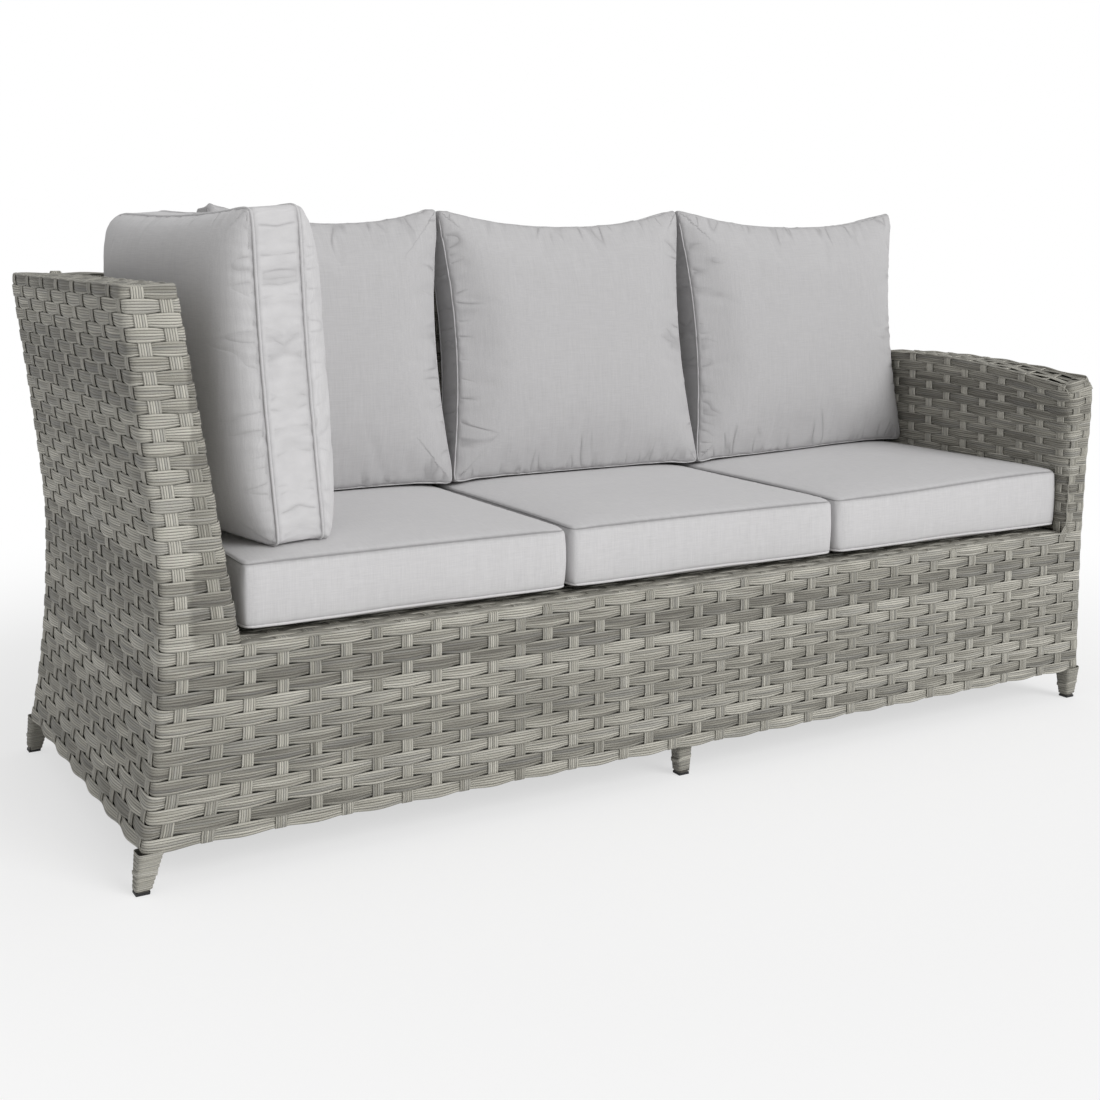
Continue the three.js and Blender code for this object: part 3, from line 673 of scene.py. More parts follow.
def strand_mould(cells):
    """A straight flat strand with thin rounded edges, one metre long for each cell."""
    if cells in strand_moulds:
        return strand_moulds[cells]
    bpy.ops.object.select_all(action="DESELECT")
    bpy.ops.mesh.primitive_cube_add(
        size=1, location=(0.5, 0, 0), scale=(1, 1, MOULD_THICKNESS)
    )
    strand = bpy.context.object
    bpy.ops.object.transform_apply(location=True, scale=True)
    mesh = strand.data
    bpy.ops.object.mode_set(mode="EDIT")
    bpy.ops.mesh.select_mode(type="EDGE")
    bpy.ops.object.mode_set(mode="OBJECT")
    select_edges(mesh, lambda a, b: abs(a.x - b.x) > 0.5)
    bpy.ops.object.mode_set(mode="EDIT")
    bpy.ops.mesh.bevel(offset=MOULD_THICKNESS / 2, segments=1, clamp_overlap=False)
    bpy.ops.mesh.select_all(action="SELECT")
    bpy.ops.mesh.remove_doubles(threshold=0.001)
    bpy.ops.mesh.select_mode(type="FACE")
    bpy.ops.object.mode_set(mode="OBJECT")
    for face in mesh.polygons:
        face.select = abs(face.normal.x) > 0.9
    bpy.ops.object.mode_set(mode="EDIT")
    bpy.ops.mesh.delete(type="ONLY_FACE")
    bpy.ops.object.mode_set(mode="OBJECT")
    apply_modifier(
        strand, "cells", "ARRAY", use_relative_offset=False, use_constant_offset=True,
        constant_offset_displace=(1, 0, 0), count=cells, use_merge_vertices=True,
        merge_threshold=0.001,
    )
    bpy.ops.object.mode_set(mode="EDIT")
    bpy.ops.mesh.select_mode(type="EDGE")
    bpy.ops.object.mode_set(mode="OBJECT")
    select_edges(mesh, lambda a, b: a.x == b.x and min(a.x, cells - a.x) < 0.5)
    bpy.ops.object.mode_set(mode="EDIT")
    bpy.ops.mesh.edge_face_add()
    bpy.ops.mesh.select_all(action="DESELECT")
    bpy.ops.object.mode_set(mode="OBJECT")
    mesh.uv_layers.new(name="strand")
    mesh.attributes.new("tone", "FLOAT", "POINT")
    bpy.data.objects.remove(strand)
    strand_moulds[cells] = mesh
    return mesh


def strand_on(line, across, swing, width, thickness=STRAND_THICKNESS, pale=0.0, arm_painted_shift=ARM_PAINTED_SHADE):
    """A strand laid along a line of the weave, as a new object.

    pale lifts the strand's own tone; the arm's shift darkens or lifts it on the arm's inner face, partly as
    own tone and partly as painted shade and painted light.
    """
    line, side, out = lay_strand(line, across, swing, width, thickness)
    mesh = strand_mould(len(line) - 1).copy()
    flat = places_of(mesh)
    station = flat[:, 0].round().astype(int)
    laid = line[station] + side[station] * flat[:, 1:2]
    laid += out[station] * flat[:, 2:3] / MOULD_THICKNESS
    mesh.vertices.foreach_set("co", laid.ravel())
    lengths = np.r_[0, np.cumsum(np.linalg.norm(np.diff(line, axis=0), axis=1))]
    start = rng.uniform(0, 40)
    corner = np.empty(len(mesh.loops), int)
    mesh.loops.foreach_get("vertex_index", corner)
    chart = np.stack([start + lengths[station[corner]], flat[corner, 1]], axis=1)
    mesh.uv_layers["strand"].data.foreach_set("uv", chart.ravel())
    tone = np.full(len(mesh.vertices), pale + (1 - pale) * rng.uniform(0, 1))
    x, y, z = line[station].T
    # Painted shade and painted light, partly own tone, on the arm's inner face, which is turned away from
    # the key light.
    arm_face_mask = smooth_step(-np.abs(x - ARM_INNER), -0.012, -0.005) * smooth_step(y, FRONT, FRONT + 0.03)
    tone += arm_painted_shift * arm_face_mask * (y < 0.2) * (z > SEAT)
    # Painted light: the end panel's front strip is made paler.
    tone += END_PAINTED_LIGHT * smooth_step(-y, -FRONT - 0.020, -FRONT - 0.004) * (x < -0.88) * (z > SEAT)
    # Painted shade: the end panel's outer face, turned away from the key light, is made darker.
    tone -= WALL_PAINTED_SHADE * smooth_step(-x, 0.94, 0.96) * (y > FRONT + 0.01)
    mesh.attributes["tone"].data.foreach_set("value", tone)
    mesh.update()
    strand = bpy.data.objects.new("strand", mesh)
    bpy.context.scene.collection.objects.link(strand)
    return strand


def joined(name, strands, finish):
    """One piece from many strands."""
    bpy.ops.object.select_all(action="DESELECT")
    for strand in strands:
        strand.select_set(True)
    piece = strands[0]
    bpy.context.view_layer.objects.active = piece
    bpy.ops.object.join()
    piece.name = name
    piece.data.name = name
    bpy.ops.object.shade_smooth()
    piece.data.materials.clear()
    piece.data.materials.append(finish)
    return piece


UP = np.array((0.0, 0.0, 1.0))


def weft_strands(rows, steps=6):
    strands = []
    for row in rows:
        line, passed, around = weft_round(row, row, steps)
        above = weft_round(row + 0.1, row, steps)[0]
        below = weft_round(row - 0.1, row, steps)[0]
        across = unit(above - below)
        swing = WEFT_SWING * np.cos(math.pi * (passed + row))
        # The round closes under a warp of the back.
        seam = int(np.argmin(np.abs(passed - (around - 30 - (row + around + 1) % 2))))
        order = np.r_[seam : len(line), 0 : seam + 1]
        width = STRAND_WIDTH + WIDTH_SWING * swing / WEFT_SWING
        strands.append(strand_on(line[order], across[order], swing[order], width[order]))
    return strands


def through(knots, steps):
    """A line through knots (place, swing) with the corners (place, None) rounded."""
    points, swings = [], []
    number = 0
    while number < len(knots) - 1:
        place, swing = knots[number]
        cornered = knots[number + 1][1] is None
        following, end_swing = knots[number + 1 + cornered]
        if cornered:
            run, shares = bend(place, knots[number + 1][0], following, EDGE_RADIUS, 4)
        else:
            run, shares = straight(place, following, steps)
        points.append(run)
        swings.append(swing + (end_swing - swing) * (1 - np.cos(math.pi * shares)) / 2)
        number += 1 + cornered
    points.append(np.array([knots[-1][0]], float))
    swings.append(np.array([knots[-1][1]], float))
    return np.vstack(points), np.concatenate(swings)


def warp_strand(knots, across, steps=3, width=WARP_WIDTH, pale=WARP_PALE):
    line, swing = through(knots, steps)
    ways = np.tile(np.array(across, float), (len(line), 1))
    return strand_on(line, ways, swing, width, pale=pale, arm_painted_shift=ARM_PAINTED_LIGHT if pale else ARM_PAINTED_SHADE)


def warp_knots(face, warp, rows, passed):
    """Crossings of a warp with the rows: it swings against the weft."""
    return [
        (face(warp, row), -WARP_SWING * math.cos(math.pi * (passed + row))) for row in rows
    ]


def under_rim(knots, inward):
    """Brings a warp round the bottom rim from inside."""
    x, y, z = knots[0][0]
    out = np.array(inward, float)
    low = np.array((x, y, BASE + 0.0005))
    inside = low + out * 0.012
    return [(inside + UP * 0.012, 0.0), (inside, None), (low + out * 0.003, 0.0), (low, None)] + knots


TOP_LEVEL = TOP - INSET
DECK_LEVEL = SEAT - INSET
DECK_PITCH = (BACK_INNER_LINE(SEAT) - FRONT) / DECK_ROWS
END_TOP_PITCH = (END_INNER_LINE(TOP) + ARM_OUTER) / TOP_ROWS
BACK_TOP_PITCH = (BACK - BACK_INNER_LINE(TOP)) / TOP_ROWS
ARM_TOP_PITCH = (ARM_OUTER - ARM_INNER) / TOP_ROWS
LAST = ALL_ROWS - 0.5


def between(first, second, share):
    return first + (second - first) * share


def end_top_place(warp, line):
    share = (line + 0.5) / TOP_ROWS
    outer = left_place(warp, LAST)[1]
    inner = end_inner_place(warp, LAST)[1] if warp < INNER_WARPS else outer
    return (-ARM_OUTER + (line + 0.5) * END_TOP_PITCH, between(outer, inner, share), TOP_LEVEL)


def back_top_place(warp, line):
    share = (line + 0.5) / TOP_ROWS
    outer = back_place(warp, LAST)[0]
    inner = back_inner_place(warp - 2, LAST)[0] if warp > 1 else outer
    return (between(outer, inner, share), BACK - (line + 0.5) * BACK_TOP_PITCH, TOP_LEVEL)


def arm_top_place(warp, line):
    x = ARM_OUTER - (line + 0.5) * ARM_TOP_PITCH
    outer = right_place(warp, ARM_TOP_ROW - 0.5)[1]
    inner = arm_inner_place(warp, ARM_TOP_ROW - 0.5)[1]
    y = between(outer, inner, (line + 0.5) / TOP_ROWS)
    return (x, y, arm_rim(x, y) - INSET)


def deck_place(warp, line):
    return (front_place(warp, LOW_ROWS - 0.5)[0], FRONT + (line + 0.5) * DECK_PITCH, DECK_LEVEL)


def over_top(place, lines, first_row, passed):
    return [
        (place(line), -WARP_SWING * math.cos(math.pi * (passed + first_row + line)))
        for line in lines
    ]


def arch(crossing):
    """How far a warp stands up over a top edge when it has passed outside the last row."""
    return RIM_ARCH if crossing % 2 else 0.0


def below(knot, depth):
    x, y, z = knot[0]
    return [((x, y, z - depth), 0.0)]


def end_warps():
    strands = []
    for warp in range(SIDE_WARPS):
        knots = warp_knots(left_place, warp, range(ALL_ROWS), -1 - warp)
        knots = under_rim(knots, (1, 0, 0))
        x, y, _ = left_place(warp, LAST)
        knots.append(((x, y, TOP_LEVEL + arch(ALL_ROWS - 2 - warp)), None))
        knots += over_top(lambda line: end_top_place(warp, line), range(TOP_ROWS), ALL_ROWS, -1 - warp)
        if warp < INNER_WARPS:
            x, y, _ = end_inner_place(warp, LAST)
            knots.append(((x, y, TOP_LEVEL + arch(ALL_ROWS - 1 + 2 + warp)), None))
            rows = range(ALL_ROWS - 1, LOW_ROWS - 1, -1)
            knots += warp_knots(end_inner_place, warp, rows, 2 + warp)
            knots += below(knots[-1], 0.02)
        else:
            x, y, z = knots[-1][0]
            knots.append(((x + 0.012, y, z - 0.006), 0.0))
        strands.append(warp_strand(knots, (0, 1, 0)))
    return strands


def back_warps():
    strands = []
    for warp in range(FRONT_WARPS):
        knots = warp_knots(back_place, warp, range(ALL_ROWS), -15 - warp)
        knots = under_rim(knots, (0, -1, 0))
        x, y, _ = back_place(warp, LAST)
        knots.append(((x, y, TOP_LEVEL + arch(ALL_ROWS - 16 - warp)), None))
        if warp < 2:
            knots += [((x, y - 0.014, TOP_LEVEL), 0.0006), ((x, y - 0.024, TOP_LEVEL - 0.006), 0.0)]
        else:
            knots += over_top(
                lambda line: back_top_place(warp, line), range(TOP_ROWS), ALL_ROWS, -15 - warp
            )
            x, y, _ = back_inner_place(warp - 2, LAST)
            knots.append(((x, y, TOP_LEVEL), None))
            low = LOW_ROWS if warp < FRONT_WARPS - 2 else ARM_TOP_ROW
            rows = range(ALL_ROWS - 1, low - 1, -1)
            knots += warp_knots(back_inner_place, warp - 2, rows, 12 + warp)
            knots += below(knots[-1], 0.02)
        strands.append(warp_strand(knots, (1, 0, 0)))
    return strands


def arm_warps():
    strands = []
    for warp in range(SIDE_WARPS):
        passed = -66 + warp
        knots = warp_knots(right_place, warp, range(ARM_TOP_ROW), passed)
        knots = under_rim(knots, (-1, 0, 0))
        if warp < INNER_WARPS:
            x, y, z = right_place(warp, ARM_TOP_ROW - 0.5)
            lift = arch(ARM_TOP_ROW - 1 + passed) - INSET
            knots.append(((x, y, arm_rim(x, y) + lift), None))
            knots += over_top(
                lambda line: arm_top_place(warp, line), range(TOP_ROWS), ARM_TOP_ROW, passed
            )
            x, y, z = arm_inner_place(warp, ARM_TOP_ROW - 0.5)
            lift = arch(ARM_TOP_ROW - 1 + 59 - warp) - INSET
            knots.append(((x, y, arm_rim(x, y) + lift), None))
            rows = range(ARM_TOP_ROW - 1, LOW_ROWS - 1, -1)
            knots += warp_knots(arm_inner_place, warp, rows, 59 - warp)
            knots += below(knots[-1], 0.02)
        else:
            rows = range(ARM_TOP_ROW, ALL_ROWS)
            knots += warp_knots(back_end_place, warp - 12, rows, passed)
            x, y, _ = back_end_place(warp - 12, LAST)
            knots += [
                ((x, y, TOP_LEVEL), None),
                ((x - 0.014, y, TOP_LEVEL), 0.0006),
                ((x - 0.024, y, TOP_LEVEL - 0.006), 0.0),
            ]
        strands.append(warp_strand(knots, (0, -1, 0)))
    return strands


def front_warps():
    strands = []
    for warp in range(FRONT_WARPS):
        knots = warp_knots(front_place, warp, range(LOW_ROWS), warp)
        knots = under_rim(knots, (0, 1, 0))
        if warp < 2:
            knots += warp_knots(end_front_place, warp, range(LOW_ROWS, ALL_ROWS), warp)
            x, y, _ = end_front_place(warp, LAST)
            knots += [
                ((x, y, TOP_LEVEL), None),
                ((x, y + 0.014, TOP_LEVEL), 0.0008),
                ((x, y + 0.024, TOP_LEVEL - 0.006), 0.0),
            ]
        elif warp > FRONT_WARPS - 3:
            side = warp - FRONT_WARPS + 2
            knots += warp_knots(arm_front_place, side, range(LOW_ROWS, ARM_TOP_ROW), warp)
            x = knots[-1][0][0]
            for turn in (0.9, 1.2, math.pi / 2):
                y = FRONT + NOSE_RADIUS - (NOSE_RADIUS - INSET) * math.cos(turn)
                z = arm_rim(x, y) - NOSE_RADIUS + (NOSE_RADIUS - INSET) * math.sin(turn)
                knots.append(((x, y, z), 0.0008))
            y = FRONT + NOSE_RADIUS
            z = arm_rim(x, y) - INSET
            knots += [((x, y + 0.008, z), 0.0006), ((x, y + 0.018, z - 0.006), 0.0)]
        else:
            x, y, _ = front_place(warp, LOW_ROWS - 0.5)
            knots.append(((x, y, DECK_LEVEL), None))
            knots += over_top(lambda line: deck_place(warp, line), range(DECK_ROWS), LOW_ROWS, warp)
        strands.append(warp_strand(knots, (-1, 0, 0)))
    return strands


def weft_run(start, places, end, row, first_passed, across, width, steps=6):
    """A weft that runs along a top, its two ends tucked away."""
    knots = [*start]
    for number, place in enumerate(places):
        knots.append((place, TOP_SWING * math.cos(math.pi * (first_passed + number + row))))
    knots += end
    return warp_strand(knots, across, steps, width, 0.0)


def end_top_wefts():
    strands = []
    for line in range(TOP_ROWS):
        places = [end_top_place(warp, line) for warp in range(SIDE_WARPS)]
        x = places[0][0]
        inset = 0.006 if 0 < line < TOP_ROWS - 1 else 0.016
        y, deep = FRONT + inset, TOP_LEVEL - 0.014
        front = [((x, y, deep), 0.0), ((x, y, TOP_LEVEL), None)]
        y = BACK - inset
        rear = [((x, y, TOP_LEVEL), None), ((x, y, deep), 0.0)]
        row = ALL_ROWS + line
        strands.append(weft_run(front, places, rear, row, -1, (-1, 0, 0), END_TOP_PITCH * 0.96))
    return strands


def back_top_wefts():
    strands = []
    for line in range(TOP_ROWS):
        places = [back_top_place(warp, line) for warp in range(2, FRONT_WARPS)]
        y = places[0][1]
        left = [((END_INNER_LINE(TOP) - 0.006, y, TOP_LEVEL - 0.004), 0.0)]
        x = ARM_OUTER - 0.006
        right = [((x, y, TOP_LEVEL), None), ((x, y, TOP_LEVEL - 0.014), 0.0)]
        row = ALL_ROWS + line
        strands.append(weft_run(left, places, right, row, -17, (0, 1, 0), BACK_TOP_PITCH * 0.94))
    return strands


def arm_top_wefts():
    strands = []
    for line in range(TOP_ROWS):
        places = [arm_top_place(warp, line) for warp in range(1, INNER_WARPS)]
        x = places[0][0]
        start = []
        for turn in (0.35, 0.8, 1.2, math.pi / 2):
            y = FRONT + NOSE_RADIUS - (NOSE_RADIUS - INSET) * math.cos(turn)
            z = arm_rim(x, y) - NOSE_RADIUS + (NOSE_RADIUS - INSET) * math.sin(turn)
            start.append(((x, y, z), -0.001))
        y = BACK_INNER_LINE(places[-1][2]) + 0.004
        end = [((x, y, places[-1][2]), 0.0)]
        row = ARM_TOP_ROW + line
        strands.append(weft_run(start, places, end, row, -65, (-1, 0, 0), ARM_TOP_PITCH * 1.12))
    return strands


def deck_wefts():
    strands = []
    for line in range(DECK_ROWS):
        places = [deck_place(warp, line) for warp in range(2, FRONT_WARPS - 2)]
        y = places[0][1]
        left = [((END_INNER_LINE(SEAT) - 0.003, y, DECK_LEVEL - 0.001), 0.0)]
        right = [((ARM_INNER + 0.003, y, DECK_LEVEL - 0.001), 0.0)]
        row = LOW_ROWS + line
        steps = 6 if line < 3 else 4
        width = STRAND_WIDTH * (1.12 if line < 2 else 1)
        strands.append(weft_run(left, places, right, row, 2, (0, 1, 0), width, steps))
    return strands


def keep(piece, body, slot, *nodes):
    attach(piece, body)
    if nodes:
        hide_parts(*nodes)


def build_weave(finish):
    pieces = [
        ("lower_rounds", weft_strands(range(LOW_ROWS)), ["front_weave"]),
        (
            "upper_rounds",
            weft_strands(range(LOW_ROWS, ARM_TOP_ROW)),
            ["end_front_weave", "end_inner_weave", "arm_front_weave", "arm_inner_weave"],
        ),
        ("top_rounds", weft_strands(range(ARM_TOP_ROW, ALL_ROWS)), ["back_end_weave"]),
        ("end_uprights", end_warps(), ["end_outer_weave"]),
        ("back_uprights", back_warps(), ["back_outer_weave", "back_inner_weave"]),
        ("arm_uprights", arm_warps(), ["arm_outer_weave"]),
        ("front_uprights", front_warps(), []),
        ("end_top_strands", end_top_wefts(), ["end_top_weave"]),
        ("back_top_strands", back_top_wefts(), ["back_top_weave"]),
        ("arm_top_strands", arm_top_wefts(), ["arm_top_weave"]),
        ("deck_strands", deck_wefts(), ["seat_deck"]),
    ]
    for name, strands, nodes in pieces:
        keep(joined(name, strands, finish), "sofa_frame", "rattan", *nodes)


# ---- shade sheets: dark sheets just behind the weave, painted shade for its dark inside ----

SHADE_SHEET_DEPTH = 0.0046
SHADE_SHEET_THICKNESS = 0.0006


def shade_sheet(name, grid, closed):
    """A thin sheet through a grid of places, rows by columns."""
    rows, columns = grid.shape[:2]
    mesh = bpy.data.meshes.new(name)
    faces = []
    for row in range(rows - 1):
        for column in range(columns if closed else columns - 1):
            a, b = row * columns + column, row * columns + (column + 1) % columns
            faces.append((a, b, b + columns, a + columns))
    mesh.from_pydata(grid.reshape(-1, 3).tolist(), [], faces)
    sheet = active_copy(mesh, name)
    apply_modifier(sheet, "wall", "SOLIDIFY", thickness=SHADE_SHEET_THICKNESS, offset=0)
    return sheet


def round_shade_sheet(name, rows):
    lines = []
    for row in rows:
        whole = min(max(round(row), round(rows[0] + 0.4)), round(rows[-1] - 0.4))
        line = weft_round(row, whole, 1)[0]
        run = np.roll(line, -1, axis=0) - np.roll(line, 1, axis=0)
        lines.append(line - unit(np.cross(run, UP)) * SHADE_SHEET_DEPTH)
    return shade_sheet(name, np.array(lines), True)


def lid_shade_sheet(name, place, warps, lines):
    grid = [[place(warp, line) for warp in warps] for line in lines]
    return shade_sheet(name, np.array(grid, float) - UP * SHADE_SHEET_DEPTH, False)


# Dark sheets just behind the weave: painted shade, not a part of the sofa.
def build_shade_sheets(finish):
    lid = (-0.3, 1, 2, TOP_ROWS - 0.7)
    sheets = [
        round_shade_sheet("low", np.arange(-0.4, LOW_ROWS, 1.2)),
        round_shade_sheet("middle", np.arange(LOW_ROWS - 0.4, ARM_TOP_ROW, 1.18)),
        round_shade_sheet("high", np.arange(ARM_TOP_ROW - 0.4, ALL_ROWS, 1.22)),
        lid_shade_sheet("end", end_top_place, range(SIDE_WARPS), lid),
        lid_shade_sheet("back", back_top_place, range(2, FRONT_WARPS), lid),
        lid_shade_sheet("arm", arm_top_place, range(INNER_WARPS), lid),
        lid_shade_sheet("deck", deck_place, range(2, FRONT_WARPS - 2), range(0, DECK_ROWS, 3)),
    ]
    keep(joined("weave_shade_sheets", sheets, finish), "sofa_frame", "frame")


# ---- cushions ----

SEAT_TURN = Matrix.Identity(3)
BACK_TURN = Matrix.Rotation(math.radians(90 - 8.6), 3, "X")
SIDE_TURN = Matrix.Rotation(math.radians(97.4), 3, "Z") @ Matrix.Rotation(
    math.radians(90 - 4.4), 3, "X"
)
CUSHION_VOXEL = 0.008
CLOTH_FRAMES = 20
MOST_SWELL = 0.026
STITCH = 0.005
ON_SEAM = 0.0002
REST_CELL = 0.012
LIFT_FROM_TO = (0.40, 0.88)
ARM_REACH = 0.9000
ARM_PRESS = 0.004


def band_levels(flat):
    """The two seams of a cushion that lies flat, as heights."""
    levels, counts = np.unique(flat[:, 2].round(4), return_counts=True)
    common = levels[np.argsort(counts)[-3:]]
    return float(common.min()), float(common.max())


def seam_loop(flat, level, stitches):
    """The points of a seam, in order from the middle of the lower edge."""
    ring = np.unique(flat[np.abs(flat[:, 2] - level) < ON_SEAM].round(4), axis=0)
    centre = (ring.min(axis=0) + ring.max(axis=0)) / 2
    ring = ring[np.argsort(np.arctan2(centre[0] - ring[:, 0], ring[:, 1] - centre[1]))]
    whole = np.vstack([ring, ring[:1]])
    lengths = np.r_[0, np.cumsum(np.linalg.norm(np.diff(whole, axis=0), axis=1))]
    stations = np.linspace(0, lengths[-1], stitches, endpoint=False)
    return np.stack([np.interp(stations, lengths, whole[:, k]) for k in range(3)], axis=1)


def nearest_seam(places, loops):
    """How far each place is from the seams, and where along them it is nearest."""
    seams = KDTree(sum(len(loop) for loop in loops))
    for loop in loops:
        for number, place in enumerate(loop):
            seams.insert(place, number)
    seams.balance()
    found = [seams.find(place) for place in places]
    distance = np.array([far for _, _, far in found])
    number = np.array([number for _, number, _ in found])
    stitch = np.array([tuple(place) for place, _, _ in found])
    ways = unit(np.roll(loops[0], -1, axis=0) - np.roll(loops[0], 1, axis=0))
    past = np.einsum("ij,ij->i", places - stitch, ways[number])
    return distance, number * STITCH + np.clip(past, -STITCH, STITCH)


def swell(piece, held, pressure, spare):
    """Blows the cloth up a little, held at its seams and where it rests."""
    pins = piece.vertex_groups.new(name="held")
    rounded = held.round(1)
    for weight in np.unique(rounded):
        pins.add(np.flatnonzero(rounded == weight).tolist(), float(weight), "REPLACE")
    cloth = piece.modifiers.new("cloth", "CLOTH")
    settings = cloth.settings
    settings.quality = 5
    settings.mass = 0.3
    settings.tension_stiffness = 20
    settings.compression_stiffness = 20
    settings.shear_stiffness = 8
    settings.bending_stiffness = 1.5
    settings.use_pressure = True
    settings.uniform_pressure_force = pressure
    settings.shrink_min = -spare
    settings.vertex_group_mass = "held"
    settings.effector_weights.gravity = 0
    cloth.point_cache.frame_start = 1
    cloth.point_cache.frame_end = CLOTH_FRAMES
    before = places_of(piece.data)
    for number in range(1, CLOTH_FRAMES + 1):
        bpy.context.scene.frame_set(number)
    blown = places_of(piece.evaluated_get(bpy.context.evaluated_depsgraph_get()).data)
    piece.modifiers.remove(cloth)
    bpy.context.scene.frame_set(1)
    move = blown - before
    far = np.linalg.norm(move, axis=1, keepdims=True)
    move *= MOST_SWELL * np.tanh(far / MOST_SWELL) / np.maximum(far, 1e-9)
    set_places(piece.data, before + move)
    piece.vertex_groups.clear()


def puckers(along, seed):
    """How far the cloth is drawn in and out along a seam, in irregular small folds."""
    folds = np.random.default_rng(seed)
    total = np.zeros_like(along)
    for length in (0.019, 0.027, 0.041, 0.067):
        phase, drift = folds.uniform(0, math.tau, 2)
        group = 0.5 + 0.5 * np.sin(along * math.tau / (length * 7.3) + drift)
        total += group * np.sin(along * math.tau / length + phase)
    return total / 2


def vertex_normals(mesh):
    normals = np.empty(len(mesh.vertices) * 3)
    mesh.vertex_normals.foreach_get("vector", normals)
    return normals.reshape(-1, 3)


def rest_on_seat(piece, seats, loops, turned, reach=0.22):
    """Lets the bottom of a leaning cushion, and its seams, down onto the seat cushions."""
    places = places_of(piece.data)
    cells = np.round(places[:, :2] / REST_CELL).astype(int)
    lowest = {}
    for cell, z in zip(map(tuple, cells), places[:, 2]):
        lowest[cell] = min(z, lowest.get(cell, 9))
    bottom = places[:, 2].min()
    drop = {}
    for cell, z in lowest.items():
        if z > bottom + 0.10:
            continue
        start = Vector((cell[0] * REST_CELL, cell[1] * REST_CELL, z + 0.03))
        hits = [seat.ray_cast(start, Vector((0, 0, -1)))[0] for seat in seats]
        tops = [hit.z for hit in hits if hit is not None]
        if tops:
            drop.setdefault(cell[0], []).append(z - max(tops))
    columns = np.array(sorted(drop))
    gaps = np.array([min(drop[column]) for column in columns])
    kernel = np.ones(5) / 5
    gaps = np.convolve(np.pad(gaps, 2, mode="edge"), kernel, mode="valid") - 0.001

    def settle(places):
        fall = np.interp(places[:, 0] / REST_CELL, columns, gaps)
        share = 1 - smooth_step(places[:, 2], bottom + 0.02, bottom + reach)
        places[:, 2] -= fall * share
        return places

    set_places(piece.data, settle(places))
    for loop in loops:
        loop[:] = settle(loop @ turned.T) @ turned


def seam_cord(name, loop, surface, radius, sunk, finish):
    """A piped seam: a fine round cord sewn into the surface along a loop."""
    sewn = []
    for place, deep in zip(loop, sunk):
        spot, normal, _, _ = surface.find_nearest(Vector(place))
        sewn.append(spot + normal * radius * (0.25 - deep))
    sewn = np.array(sewn)
    for _ in range(4):
        sewn = (np.roll(sewn, 1, axis=0) + 2 * sewn + np.roll(sewn, -1, axis=0)) / 4
    curve = bpy.data.curves.new(name, "CURVE")
    curve.dimensions = "3D"
    curve.bevel_depth = radius
    curve.bevel_resolution = 2
    curve.resolution_u = 1
    spline = curve.splines.new("POLY")
    spline.points.add(len(sewn) - 1)
    for point, place in zip(spline.points, sewn):
        point.co = (*place, 1)
    spline.use_cyclic_u = True
    active_copy(curve, name)
    bpy.ops.object.convert(target="MESH")
    cord = bpy.context.object
    bpy.ops.object.shade_smooth()
    cord.data.materials.append(finish)
    return cord


def drawn_in(flat, make):
    """Pulls a flat cushion's corners into place. Its edges sag between the pointed ears."""
    low, high = flat.min(axis=0), flat.max(axis=0)
    u = (2 * flat[:, 0] - low[0] - high[0]) / (high[0] - low[0])
    v = (2 * flat[:, 1] - low[1] - high[1]) / (high[1] - low[1])
    moved = flat.copy()
    signs = ((-1, -1), (1, -1), (-1, 1), (1, 1))
    for (right, up), (along, rise) in zip(signs, make["corners"]):
        share = (1 + right * u) * (1 + up * v) / 4
        moved[:, 0] += along * share
        moved[:, 1] += rise * share
    moved[:, 1] -= make["sag"] * (1 - np.abs(u) ** 3) * smooth_step(v, 0.2, 1)
    moved[:, 0] -= make["waist"] * np.sign(u) * np.abs(u) ** 3 * (1 - v**2) ** 2
    moved[:, 1] -= make["droop"] * smooth_step(u, 0.72, 1) * smooth_step(v, 0.78, 1)
    thick = smooth_step(-u, 0.2, 1) * smooth_step(flat[:, 2], low[2], high[2])
    moved[:, 2] += make["front"] * thick
    return moved


